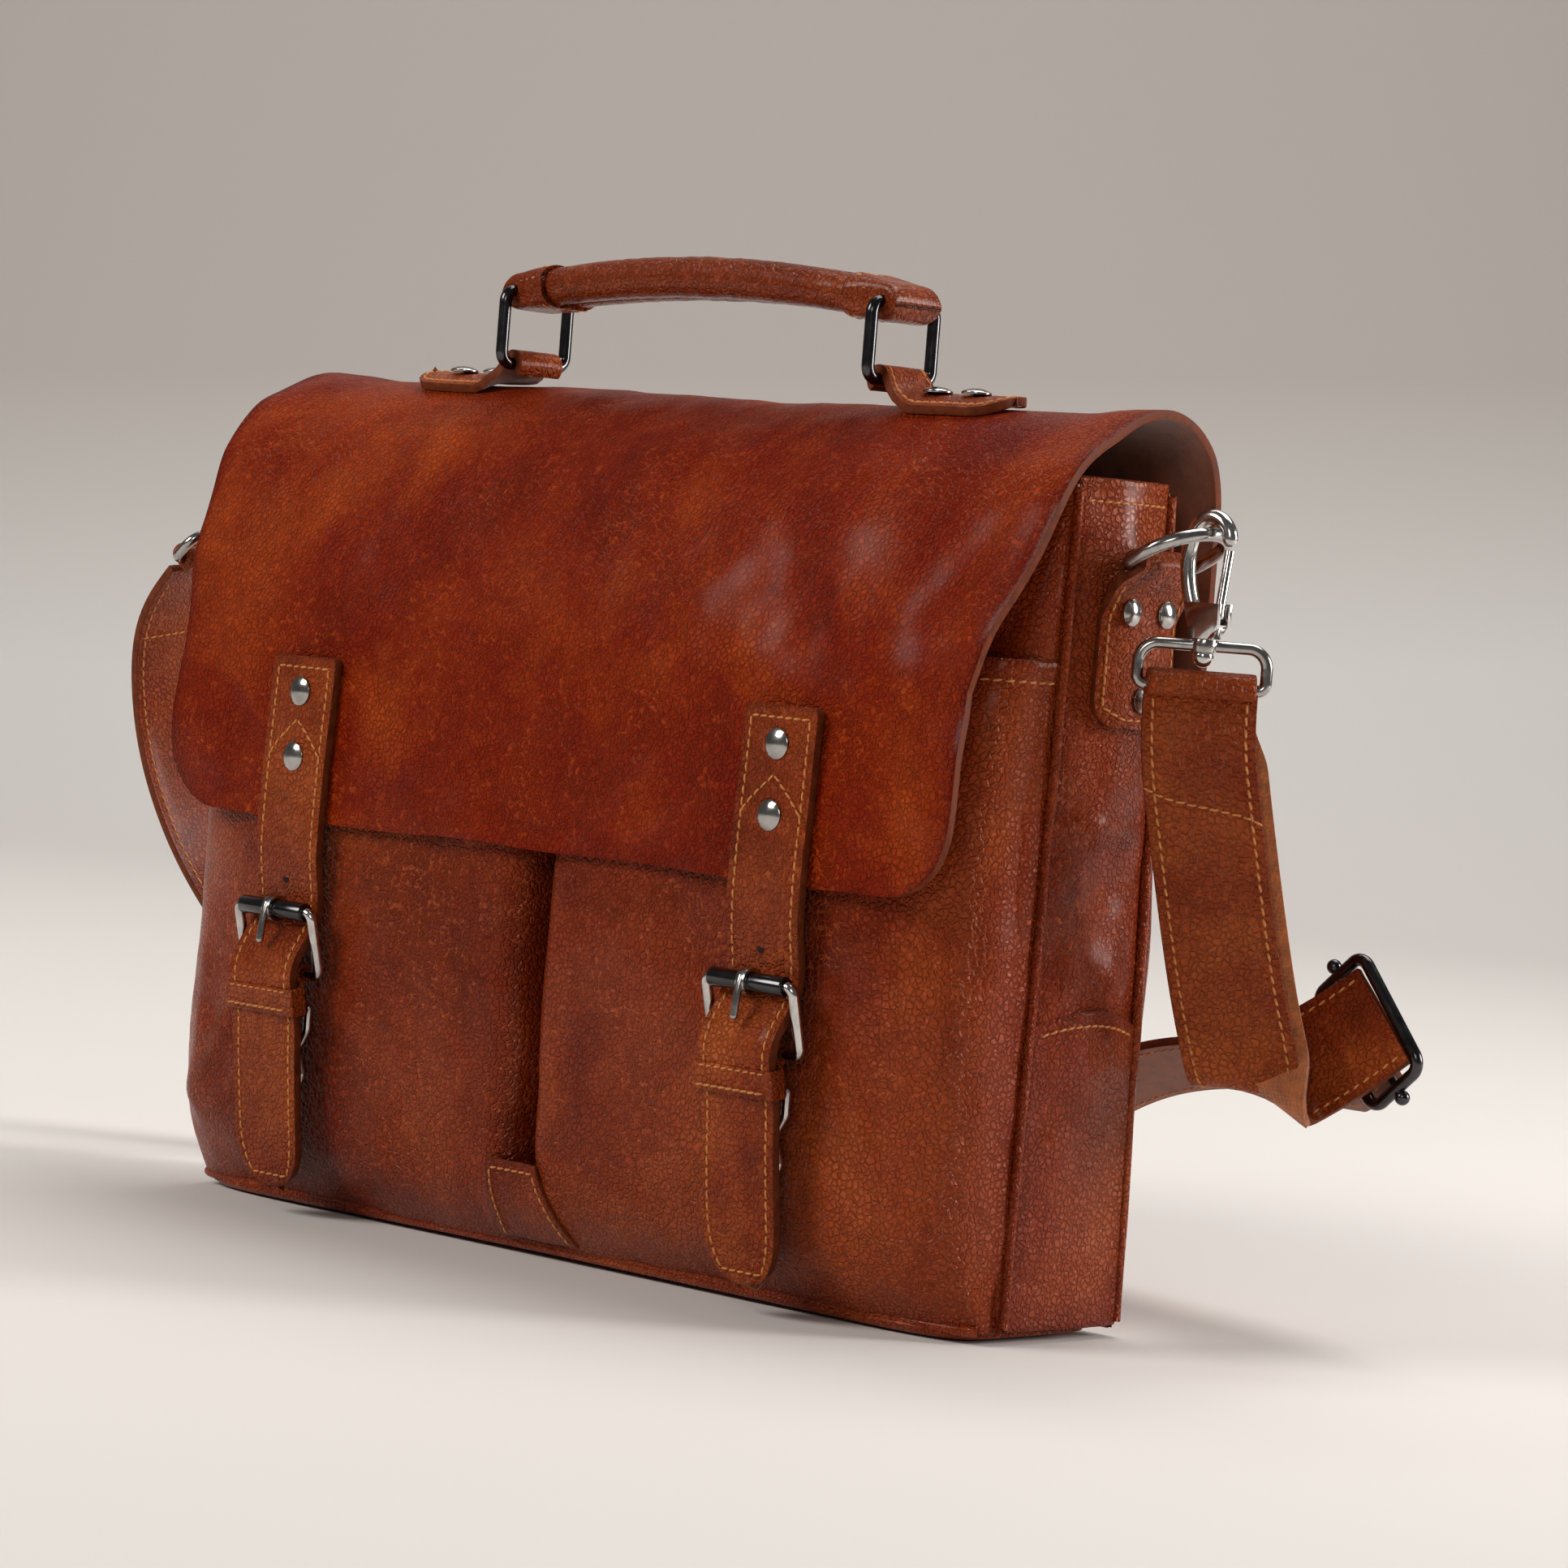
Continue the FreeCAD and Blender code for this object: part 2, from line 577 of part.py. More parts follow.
def make_d_ring(side):
    """D of round wire: a straight bar in the tab and a bow that leans up and out."""
    bow = D_HALF
    flat = D_REACH - bow
    mid = 3 * (1 - math.sqrt(0.5))
    path = Part.Wire([
        line((0, 0, 0), (0, bow - 3, 0)),
        arc((0, bow - 3, 0), (mid, bow - mid, 0), (3, bow, 0)),
        line((3, bow, 0), (flat, bow, 0)),
        arc((flat, bow, 0), (flat + bow, 0, 0), (flat, -bow, 0)),
        line((flat, -bow, 0), (3, -bow, 0)),
        arc((3, -bow, 0), (mid, mid - bow, 0), (0, 3 - bow, 0)),
        line((0, 3 - bow, 0), (0, 0, 0)),
    ])
    ring = tube_along(path, D_WIRE)
    ring.rotate(V(0, 0, 0), V(0, 1, 0), -D_TILT)
    ring.translate(V(D_BAR_X + 0.4, TAB_Y, D_BAR_Z))
    return ring if side > 0 else mirrored(ring)


def hook_pose(side):
    """Axes and origin of a snap hook: Z along its shank towards the D-ring, origin at the loop's collar."""
    tilt = math.radians(D_TILT)
    ring_x = D_BAR_X + 0.4 + D_REACH * math.cos(tilt)
    ring_z = D_BAR_Z + D_REACH * math.sin(tilt)
    reach = HOOK_TOP - 2 * HOOK_WIRE - D_WIRE - 0.9
    if side > 0:
        up = V(0, 0, 1)
        across = V(1, 0, 0)
    else:
        lean = math.radians(48)
        up = V(math.sin(lean), 0, math.cos(lean))
        across = V(-math.cos(lean), 0, math.sin(lean))
    origin = V(side * ring_x, TAB_Y, ring_z) - up * reach
    return across, up, origin


def hook_placed(shape, side):
    across, up, origin = hook_pose(side)
    return placed(shape, (across, up.cross(across), up), origin)


def make_hook(side):
    """Snap hook: swivel stud, tapered base block, and a bow that ends at the gate."""
    outline = Part.makePolygon([V(-4, -3.6, 1.2), V(4, -3.6, 1.2), V(7.6, -3.6, 6), V(7.6, -3.6, 13), V(-7.4, -3.6, 13),
                                V(-4, -3.6, 1.2)])
    block = Part.Face(outline).extrude(V(0, 7.2, 0))
    high = HOOK_TOP - HOOK_WIRE
    bow = curved_wire([
        (-5.0, 0, 9), (-8.2, 0, 17), (-HOOK_HALF, 0, 26), (-8.4, 0, high - 7), (-4.8, 0, high - 1.8), (0, 0, high),
        (4.6, 0, high - 1.8), (7.4, 0, high - 7)], HOOK_WIRE)
    tip = Part.makeSphere(HOOK_WIRE, V(7.4, 0, high - 7))
    stud = rod((0, 0, -5.2), (0, 0, 2), STUD_R)
    head = Part.makeSphere(3.5, V(0, 0, -4.9)).common(rod((0, 0, -12), (0, 0, -3.4), 5))
    slot = box((2.4, -2.0, 6.0), (12, 2.0, 14))
    hook = block.fuse([bow, tip, stud, head]).cut(slot)
    return hook_placed(hook, side)


def make_gate(side):
    """Straight sprung gate from the base to the bow's tip."""
    low, high = V(5.2, 0, 9.0), V(7.6, 0, HOOK_TOP - 13.2)
    pin = rod(low, high, 1.6)
    foot = Part.makeSphere(1.8, low)
    return hook_placed(pin.fuse(foot), side)


def loop_axes(side):
    """Axes of a strap loop: X along the strap's bar, Z towards the hook."""
    across, up, origin = hook_pose(side)
    bar = RIGHT_ACROSS if side > 0 else LEFT_ACROSS
    bar = (bar - up * bar.dot(up)).normalize()
    return bar, up, origin


def make_loop(side):
    """Strap loop: a rounded frame with a collar that the hook's stud turns in."""
    frame = tube_along(rounded_path(LOOP_HALF, -LOOP_RISE, -1.2, 6.5, 2.8), LOOP_WIRE)
    collar = rod((0, 0, -3.3), (0, 0, 0.9), 4.3)
    loop = frame.fuse(collar).cut(rod((0, 0, -9), (0, 0, 9), STUD_R + FIT))
    bar, up, origin = loop_axes(side)
    return placed(loop, (bar, up.cross(bar), up), origin)


def bar_centre(side):
    bar, up, origin = loop_axes(side)
    return origin - up * LOOP_RISE


def make_strap_fold(side):
    """Strap end folded round the loop's bar, with its stitched overlap below."""
    half = FOLD_HALF
    bar, up, origin = loop_axes(side)
    outer = LOOP_WIRE + 0.3 + SHOULDER_THICK
    roll = rod((-half, 0, -LOOP_RISE), (half, 0, -LOOP_RISE), outer)
    roll = roll.common(box((-half, -20, -LOOP_RISE - 3.5), (half, 20, 0)))
    fold = roll.cut(rod((-half - 5, 0, -LOOP_RISE), (half + 5, 0, -LOOP_RISE), LOOP_WIRE + 0.3))
    return placed(fold, (bar, up.cross(bar), up), origin)


def ribbon(stations, width, thick, offset):
    """Flat strap through stations of (centre, direction across)."""
    wires = []
    for i, (centre, across) in enumerate(stations):
        ahead = stations[min(i + 1, len(stations) - 1)][0] - stations[max(i - 1, 0)][0]
        across = (across - ahead * (across.dot(ahead) / ahead.dot(ahead))).normalize()
        normal = ahead.cross(across).normalize()
        middle = centre + normal * offset
        side = across * (width / 2)
        lift = normal * (thick / 2)
        corners = [middle - side - lift, middle + side - lift, middle + side + lift, middle - side + lift]
        wires.append(Part.makePolygon(corners + [corners[0]]))
    return Part.makeLoft(wires, True, True)


def shoulder_stations():
    """The strap from under the right fold, down, round the slider and back along the floor."""
    start = bar_centre(1) - V(0, 0, 4.4)
    return [(start + V(*shift), V(*across)) for shift, across in SHOULDER_PATH]


def make_shoulder_drop():
    return ribbon(shoulder_stations(), SHOULDER_WIDTH, SHOULDER_THICK, 0)


def make_shoulder_lining():
    """Webbing layer behind the right-hand drop."""
    return ribbon(shoulder_stations()[:-1], SHOULDER_WIDTH - 2, 2.2, -SHOULDER_THICK / 2 - 1.5)


def make_shoulder_strap():
    return ribbon([(V(*p), V(*a)) for p, a in RETURN_PATH], SHOULDER_WIDTH, SHOULDER_THICK, 0)


def make_slider():
    """Slide adjuster: rounded frame with a middle bar, behind the strap but for its far bar."""
    frame = tube_along(rounded_path(SLIDER_HALF, -SLIDER_REACH, SLIDER_REACH, 5), SLIDER_WIRE)
    bar = rod((-SLIDER_HALF - 3.5, 0, 0), (SLIDER_HALF + 3.5, 0, 0), 1.8)
    knobs = [Part.makeSphere(2.6, V(sign * (SLIDER_HALF + 3.8), 0, 0)) for sign in (-1, 1)]
    stations = shoulder_stations()
    end = stations[-1][0]
    travel = (end - stations[-2][0]).normalize()
    across = stations[-1][1]
    across = (across - travel * across.dot(travel)).normalize()
    normal = travel.cross(across)
    lift = SHOULDER_THICK / 2 + SLIDER_WIRE + 0.8
    centre = end - travel * (SLIDER_REACH - SLIDER_WIRE - 1.4) + normal * lift
    tilted = (travel * math.sqrt(SLIDER_REACH ** 2 - lift ** 2) - normal * lift).normalize()
    return placed(frame.fuse([bar] + knobs), (across, tilted.cross(across), tilted), centre)


def main():
    os.makedirs("parts", exist_ok=True)
    export("base_panel", make_base())
    export("front_panel", crowned_panel(FRONT_WALL, -1))
    export("back_panel", crowned_panel(BACK_WALL, 1))
    export("bottom_patch", make_bottom_patch())
    export("piping", make_piping())
    export("side_tab_rivets", make_side_rivets())
    export("flap", make_flap())
    export("strap_rivets", make_strap_rivets())
    export("handle_tab_rivets", make_tab_rivets())
    export("handle", make_handle())
    export("shoulder_strap", make_shoulder_strap())
    export("shoulder_drop", make_shoulder_drop())
    export("shoulder_webbing", make_shoulder_lining())
    export("slide_adjuster", make_slider())
    for side, name in ((-1, "left"), (1, "right")):
        export("gusset_" + name, gusset_band(side, FLOOR_GAP, HEIGHT, -LEATHER, 0))
        export("gusset_patch_" + name, gusset_band(side, 6, GUSSET_PATCH_TOP, 0.1, 1.3))
        export("pocket_" + name, make_pocket(side))
        export("clip_stud_" + name, make_clip_stud(side))
        export("front_strap_" + name, make_front_strap(side))
        export("keeper_" + name, make_keeper(side))
        export("buckle_" + name, make_buckle(side))
        export("roller_" + name, make_roller(side))
        export("prong_" + name, make_prong(side))
        export("chape_" + name, make_chape(side))
        export("clip_" + name, make_clip(side))
        export("clip_lever_" + name, make_clip_lever(side))
        export("handle_ring_" + name, make_handle_ring(side))
        export("handle_tab_" + name, make_handle_tab(side))
        export("side_tab_" + name, make_side_tab(side))
        export("d_ring_" + name, make_d_ring(side))
        export("snap_hook_" + name, make_hook(side))
        export("hook_gate_" + name, make_gate(side))
        export("strap_loop_" + name, make_loop(side))
        export("strap_fold_" + name, make_strap_fold(side))


main()
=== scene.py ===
"""Looks of the leather briefcase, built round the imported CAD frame.

Sizes are in millimetres in the frame's axes: X along the width, -Y the front, +Z up. Meshes are made in
metres, and the floor, the lights and the camera are given in metres.
"""

import math

import bpy
import numpy as np
from mathutils import Matrix, Vector, noise


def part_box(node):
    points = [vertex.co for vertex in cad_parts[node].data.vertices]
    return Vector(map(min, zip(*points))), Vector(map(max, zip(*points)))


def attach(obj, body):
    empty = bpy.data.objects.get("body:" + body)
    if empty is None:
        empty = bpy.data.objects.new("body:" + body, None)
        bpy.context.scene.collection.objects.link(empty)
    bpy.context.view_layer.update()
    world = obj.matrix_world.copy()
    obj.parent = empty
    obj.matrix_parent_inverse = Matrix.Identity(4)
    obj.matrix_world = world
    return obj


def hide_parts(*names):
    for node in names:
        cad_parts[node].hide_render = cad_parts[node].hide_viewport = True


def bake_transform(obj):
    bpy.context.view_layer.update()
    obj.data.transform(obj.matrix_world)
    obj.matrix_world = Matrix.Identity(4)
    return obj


# One millimetre in metres.
MM = 0.001

# Body of the bag.
# Outlines are (y, z) at mid width, from the floor up, and the flap's from the back over the top to the front.
WIDTH = 400.0
HEIGHT = 290.0
SEAM_Y = 28.5
TAPER = 5.5
CROWN_POWER = 5.0
FLOOR_GAP = 3.2
LEATHER = 3.0
FRONT_WALL = [(-30, FLOOR_GAP), (-44, 40), (-50, 110), (-48.5, 180), (-45, 230), (-39, 262), (-27, 287)]
BACK_WALL = [(28, FLOOR_GAP), (36, 50), (40, 150), (37.5, 240), (25, 287)]
POCKET_FRONT = [(-46, FLOOR_GAP), (-62, 22), (-69, 60), (-70.3, 105), (-69, 150), (-64, 206), (-59, 228)]
FLAP_OUTER = [(44, 247), (44, 277), (37, 301), (15, 311.5), (-11, 308), (-33, 294), (-48, 275), (-59, 252),
              (-67.5, 226), (-72, 194), (-74, 146)]
GUSSET_FOOT = 3.5
GUSSET_PATCH_TOP = 107.0
# (height, how far it stands out).
GUSSET_BULGE = [(4, 1.0), (60, 2.5), (150, 6.0), (230, 8.0), (HEIGHT, 3.5)]
# Each dent is (y, z, width, height, depth).
GUSSET_DENTS = [(3, 150, 13, 26, 4.0), (-8, 196, 9, 15, 2.2), (10, 122, 11, 12, -1.5), (-3, 172, 20, 5, -1.2)]
POCKET_GAP = 4.0
PATCH_TOP = 36.0

# Flap outline: distance from the lower edge, then half widths to the right and to the left.
FLAP_CORNER = 26.0
FLAP_SIDES = [(0, 199, 196), (30, 200.5, 194), (50, 199.5, 195), (70, 198, 198), (85, 201, 201),
              (105, 206, 205), (120, 209.5, 207), (138, 212, 210), (165, 211, 212), (200, 208, 210),
              (260, 206, 207), (330, 206, 206)]

# Front straps: their outline is (y, z) from the flap down to the tip.
STRAP_X = 122.0
STRAP_HALF = 17.0
STRAP_THICK = 3.4
STRAP_STITCH = 13.8
STRAP_OUTER = [(-75.3, 206), (-77.0, 170), (-77.8, 146), (-76.9, 128), (-75.4, 113), (-79.6, 104),
               (-84.6, 96), (-86, 88), (-83.8, 79), (-81.2, 60), (-79.2, 42), (-76.4, 25), (-72.5, 10)]

# Handle.
RING_X = 93.0
RING_HIGH = 346.5
RING_LOW = 319.5
HANDLE_RISE = 7.0

# Shoulder strap. Each station of the drop is (shift from the fold round the strap loop, direction across).
# Each station of the long part, which comes back to the bag, is (place, direction across).
SHOULDER_HALF = 19.0
SHOULDER_THICK = 3.4
SHOULDER_INSET = 3.4
WEBBING_THICK = 2.6
# The webbing starts and ends at these lengths down the drop.
WEBBING_SPAN = (9, 147)
FOLD_BAR = np.array([236.1, 4.0, 223.1])
DROP = [
    ((0, 0, 2.2), (0.71, 0.71, 0)), ((0, 0, -4.4), (0.71, 0.71, 0)), ((0, 0.6, -16.4), (0.71, 0.71, 0)),
    ((0, 6.5, -40.4), (0.71, 0.71, 0)), ((0, 19, -79.4), (0.72, 0.69, 0)),
    ((0, 31, -111.4), (0.72, 0.69, -0.06)), ((1.5, 36.5, -127.4), (0.71, 0.69, -0.12)),
    ((0.9, 43.8, -136.4), (0.7, 0.67, -0.22)), ((1.1, 53.7, -132.9), (0.72, 0.48, -0.5)),
    ((14.8, 64, -120.9), (0.74, 0.13, -0.66)), ((33.9, 69.9, -105.1), (0.78, 0.03, -0.63)),
]
RETURN = [
    ((261.4, 81.3, 110.6), (0.64, -0.02, -0.77)), ((250, 84.5, 101.5), (0.64, 0, -0.77)),
    ((235, 91.5, 95), (0.42, 0.6, -0.66)), ((212, 101, 91), (0.22, 0.82, -0.5)),
    ((185, 109, 90), (0.1, 0.88, -0.45)), ((140, 116, 83), (0.03, 0.92, -0.38)),
    ((90, 124, 58), (0, 0.97, -0.2)), ((40, 131, 23), (0, 1, -0.05)), ((-15, 134, 3.6), (0, 1, 0)),
    ((-70, 132, 2.4), (0, 1, 0)), ((-125, 127, 5), (0.05, 1, 0)), ((-185, 112, 20), (0.2, 0.98, 0)),
    ((-238, 84, 48), (0.3, 0.95, 0.05)), ((-278, 48, 92), (0.15, 0.98, 0.15)),
    ((-299, 22, 142), (-0.05, 0.99, 0.1)), ((-303, 10, 185), (-0.1, 0.99, 0.05)),
    ((-295.5, 5, 216), (-0.11, 0.985, 0.1)), ((-278.6, 4, 235.4), (-0.114, 0.985, 0.126)),
]

# Stitches: each ring of one is (share of half its length, share of its radius, drop below its top).
STITCH_PITCH = 4.3
STITCH_LENGTH = 3.5
STITCH_R = 0.42
STITCH_SLANT = 0.12
STITCH_SIDES = 6
STITCH_RINGS = ((-1, 0.55, 0.5), (-0.6, 1, 0.08), (0, 1.1, 0), (0.6, 1, 0.08), (1, 0.55, 0.5))

# Camera: its turn, tilt and roll, its distance from its aim and the aim in metres, and its lens in mm.
CAMERA_TURN = math.radians(43.8)
CAMERA_DOWN = math.radians(2.3)
CAMERA_ROLL = math.radians(4.5)
CAMERA_FAR = 1.856
CAMERA_AIM = Vector((0.0533, 0.0, 0.1756))
CAMERA_LENS = 120.3

# Floor and backdrop in metres, along the camera's view from the middle of the bag.
FLOOR_START = -6.0
FLOOR_END = 2.1
SWEEP = 1.6
WALL_TOP = 4.5
STAGE_HALF = 5


# Curves and surfaces


def cubic(points, step):
    """A natural cubic curve through points, as places evenly spread along it about step apart."""
    p = np.array(points, float)
    n = len(p)
    knots = np.concatenate([[0], np.cumsum(np.linalg.norm(np.diff(p, axis=0), axis=1))])
    gap = np.diff(knots)
    system = np.eye(n)
    right = np.zeros_like(p)
    for i in range(1, n - 1):
        system[i, i - 1:i + 2] = gap[i - 1], 2 * (gap[i - 1] + gap[i]), gap[i]
        right[i] = 6 * ((p[i + 1] - p[i]) / gap[i] - (p[i] - p[i - 1]) / gap[i - 1])
    bend = np.linalg.solve(system, right)
    t = np.linspace(0, knots[-1], 60 * n)
    i = np.clip(np.searchsorted(knots, t, side="right") - 1, 0, n - 2)
    ahead = ((t - knots[i]) / gap[i])[:, None]
    behind = 1 - ahead
    h = gap[i][:, None]
    fine = behind * p[i] + ahead * p[i + 1] + h * h / 6 * (
        (behind ** 3 - behind) * bend[i] + (ahead ** 3 - ahead) * bend[i + 1])
    return along(fine, max(int(run_of(fine)[-1] / step) + 1, 2))


def run_of(line):
    """Length from the start of a polyline to each of its points."""
    return np.concatenate([[0], np.cumsum(np.linalg.norm(np.diff(line, axis=0), axis=1))])


def along(line, where):
    """Places along a polyline: where is a count of evenly spread places, or the lengths themselves."""
    if isinstance(where, int):
        where = np.linspace(0, run_of(line)[-1], where)
    return along_values(line, line, where)


def along_values(line, values, where):
    """Values given at each point of a polyline, read at these lengths along it."""
    run = run_of(line)
    return np.column_stack([np.interp(where, run, values[:, k]) for k in range(values.shape[1])])


def smooth(value):
    """0 up to 0 and 1 from 1 on, eased between."""
    value = np.clip(value, 0, 1)
    return value * value * (3 - 2 * value)


def crown(x):
    """How far a panel stands out at x: 1 at mid width, 0 at the seams."""
    return np.maximum(1 - (np.abs(x) / (WIDTH / 2)) ** CROWN_POWER, 0) ** (1 / CROWN_POWER)


def crown_stations(start, end, count):
    """Places across a crowned panel, spread evenly along its plan curve so that its seams close."""
    depth = 45.0
    angle = np.linspace(-math.pi / 2, math.pi / 2, 4001)
    x = WIDTH / 2 * np.sign(np.sin(angle)) * np.abs(np.sin(angle)) ** (2 / CROWN_POWER)
    plan = np.column_stack([x, depth * crown(x)])
    plan = plan[(x >= start) & (x <= end)]
    return along(plan, count)[:, 0]


def normals_of(surface):
    """Unit normals of a grid of places, rows along the piece and columns across it."""
    down = np.gradient(surface, axis=0)
    across = np.gradient(surface, axis=1)
    normal = np.cross(down, across)
    length = np.linalg.norm(normal, axis=2, keepdims=True)
    return normal / np.maximum(length, 1e-9)


def grid_of(x, y, z):
    """A grid of places from its coordinates, each spread over the rows and columns that it lacks."""
    return np.stack(np.broadcast_arrays(x, y, z), axis=2)


def raised(surface, height):
    """A surface moved out along its normals, by a height for each place."""
    return surface + normals_of(surface) * height[:, :, None]


def rumple(surface, depth, size, seed, keep=None):
    """A surface moved along its normals by soft noise, about depth mm either way in folds of size mm."""
    if keep is None:
        keep = np.ones(surface.shape[:2])
    height = np.zeros(surface.shape[:2])
    for i in range(surface.shape[0]):
        for j in range(surface.shape[1]):
            x, y, z = surface[i, j] / size
            value = noise.noise(Vector((x + seed, y - seed, z + 0.37 * seed)))
            value += 0.4 * noise.noise(Vector((2.3 * x - seed, 2.3 * y, 2.3 * z + seed)))
            height[i, j] = value * depth * keep[i, j]
    return raised(surface, height)


def away_from(surface, x, half, soft):
    """0 within half of a line at x, 1 from soft further out."""
    return smooth((np.abs(surface[:, :, 0] - x) - half) / soft)


# Meshes


def hand(side):
    return "right" if side > 0 else "left"


def give_finish(mesh, materials):
    """Smooth shading, and these materials in place of any others."""
    mesh.polygons.foreach_set("use_smooth", [True] * len(mesh.polygons))
    mesh.materials.clear()
    for material in materials:
        mesh.materials.append(material)


def mesh_piece(name, places, faces, body, materials):
    mesh = bpy.data.meshes.new(name)
    mesh.from_pydata([tuple(p) for p in np.asarray(places) * MM], [], faces)
    give_finish(mesh, materials)
    piece = bpy.data.objects.new(name, mesh)
    bpy.context.scene.collection.objects.link(piece)
    if body:
        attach(piece, body)
    return piece


def grid_faces(rows, columns, closed=False):
    faces = []
    last = columns if closed else columns - 1
    for i in range(rows - 1):
        for j in range(last):
            k = (j + 1) % columns
            faces.append((i * columns + j, (i + 1) * columns + j, (i + 1) * columns + k, i * columns + k))
    return faces


def add_bevel(piece, width, angle):
    """Rounds the edges that are sharper than an angle in degrees."""
    edge = piece.modifiers.new("edge", "BEVEL")
    edge.width = width * MM
    edge.segments = 2
    edge.limit_method = "ANGLE"
    edge.angle_limit = math.radians(angle)
    return edge


def sheet_piece(name, surface, thick, body, finish, bevel=0.8):
    """A leather sheet whose outer face is the surface; finish holds its outer, inner and edge materials."""
    rows, columns = surface.shape[:2]
    piece = mesh_piece(name, surface.reshape(-1, 3), grid_faces(rows, columns), body, finish)
    solid = piece.modifiers.new("thickness", "SOLIDIFY")
    solid.thickness = thick * MM
    solid.offset = -1
    solid.material_offset = 1
    solid.material_offset_rim = 2
    add_bevel(piece, bevel, 50)
    return piece


def worn_and_shaded_sheet(name, node, surface, thick, body, finish, shade, bevel=0.8):
    """A leather sheet that is darker towards its edges, partly burnished wear and partly painted shade along
    the seams, and stands for one node of the frame.
    """
    piece = sheet_piece(name, surface, thick, body, finish, bevel)
    # Per-point darkening towards the edges: partly burnished edge wear, partly painted shade along the seams.
    layer = piece.data.attributes.new("burnish_and_shade", "FLOAT", "POINT")
    layer.data.foreach_set("value", np.clip(np.asarray(shade, np.float32).ravel(), 0, 1))
    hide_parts(node)
    return piece


def sweep_piece(name, centres, sections, body, finish):
    """A closed section swept through centres; sections is one (count, 3) ring of offsets for each centre."""
    rings = np.array([c + s for c, s in zip(centres, sections)])
    rows, columns = rings.shape[:2]
    faces = grid_faces(rows, columns, closed=True)
    faces.append(tuple(reversed(range(columns))))
    faces.append(tuple((rows - 1) * columns + j for j in range(columns)))
    return mesh_piece(name, rings.reshape(-1, 3), faces, body, finish)


def frames_along(line, across):
    """Travel, across and normal directions at each place of a line, from the across wanted there."""
    travel = np.gradient(line, axis=0)
    travel /= np.linalg.norm(travel, axis=1, keepdims=True)
    across = across - travel * np.sum(across * travel, axis=1, keepdims=True)
    across /= np.linalg.norm(across, axis=1, keepdims=True)
    return travel, across, np.cross(travel, across)


def tube_piece(name, line, radius, body, finish):
    """A round welt along a line."""
    sides = 12
    guess = np.tile([0.31, 0.93, 0.2], (len(line), 1))
    _, across, normal = frames_along(line, guess)
    turn = np.linspace(0, 2 * math.pi, sides, endpoint=False)
    sections = [radius * (np.outer(np.cos(turn), a) - np.outer(np.sin(turn), n))
                for a, n in zip(across, normal)]
    return sweep_piece(name, line, sections, body, finish)


class Thread:
    """Stitches of one piece, gathered into one mesh."""

    def __init__(self):
        self.places = []
        self.faces = []

    def sew(self, surface, path, pitch=STITCH_PITCH, parts=40):
        """Stitches along a path of (row, column) shares on a surface grid."""
        places, ups = on_grid(surface, path, parts)
        self.run(places, ups, pitch=pitch)

    def run(self, line, normal, lift=0.15, pitch=STITCH_PITCH):
        """Stitches along a line of places with a surface normal at each."""
        length = run_of(line)[-1]
        count = max(int(length / pitch), 1)
        middles = [(i + 0.5) * length / count for i in range(count)]
        aheads = [min((i + 0.6) * length / count, length) for i in range(count)]
        ups = along_values(line, normal, middles)
        for centre, up, ahead in zip(along(line, middles), ups, along(line, aheads)):
            self.stitch(centre + up * lift, up, ahead - centre)

    def stitch(self, centre, up, travel):
        """One stitch, lying along travel but a little slanted, its two ends sunk in the leather."""
        up = up / np.linalg.norm(up)
        travel = travel - up * np.dot(travel, up)
        travel = travel / max(np.linalg.norm(travel), 1e-9)
        travel = travel + np.cross(up, travel) * STITCH_SLANT
        travel = travel / np.linalg.norm(travel)
        side = np.cross(up, travel)
        start = len(self.places)
        half = STITCH_LENGTH / 2
        sides, last = STITCH_SIDES, len(STITCH_RINGS) - 1
        for share, fat, drop in STITCH_RINGS:
            for k in range(sides):
                turn = 2 * math.pi * k / sides
                ring = side * math.cos(turn) - up * math.sin(turn)
                self.places.append(centre + travel * half * share + ring * STITCH_R * fat - up * drop)
        for r in range(last):
            for k in range(sides):
                a, b = start + sides * r + k, start + sides * r + (k + 1) % sides
                self.faces.append((a, b, b + sides, a + sides))
        self.faces.append(tuple(start + k for k in reversed(range(sides))))
        self.faces.append(tuple(start + sides * last + k for k in range(sides)))

    def made(self, name, body, thread):
        """The mesh of all the stitches so far."""
        return mesh_piece(name, self.places, self.faces, body, [thread])


def between(grid, v, u):
    """Value of a grid at a row share and a column share, both from 0 to 1."""
    rows, columns = grid.shape[:2]
    r, c = np.clip(v, 0, 1) * (rows - 1), np.clip(u, 0, 1) * (columns - 1)
    i, j = min(int(r), rows - 2), min(int(c), columns - 2)
    a, b = r - i, c - j
    return ((1 - a) * ((1 - b) * grid[i, j] + b * grid[i, j + 1])
            + a * ((1 - b) * grid[i + 1, j] + b * grid[i + 1, j + 1]))


def on_grid(surface, path, parts):
    """Places and normals on a surface grid along a path of (row, column) shares, each step cut into parts."""
    normal = normals_of(surface)
    path = np.array(path, float)
    dense = [path[0]]
    for a, b in zip(path, path[1:]):
        dense += [a + (b - a) * k / parts for k in range(1, parts + 1)]
    return tuple(np.array([between(grid, v, u) for v, u in dense]) for grid in (surface, normal))


def row_share(length, run):
    """Row share of the place at a length down a grid whose rows lie at the lengths in run."""
    return np.interp(length, run, np.linspace(0, 1, len(run)))


def column_share(out, half):
    """Column share of a line this far out from the middle, where columns are spread by a sine."""
    return 0.5 + math.asin(out / half) / math.pi


# Materials


def new_material(name):
    material = bpy.data.materials.new(name)
    material.use_nodes = True
    tree = material.node_tree
    tree.nodes.clear()
    shader = tree.nodes.new("ShaderNodeBsdfPrincipled")
    output = tree.nodes.new("ShaderNodeOutputMaterial")
    tree.links.new(shader.outputs["BSDF"], output.inputs["Surface"])
    coords = tree.nodes.new("ShaderNodeTexCoord").outputs["Object"]
    return material, tree, shader, coords


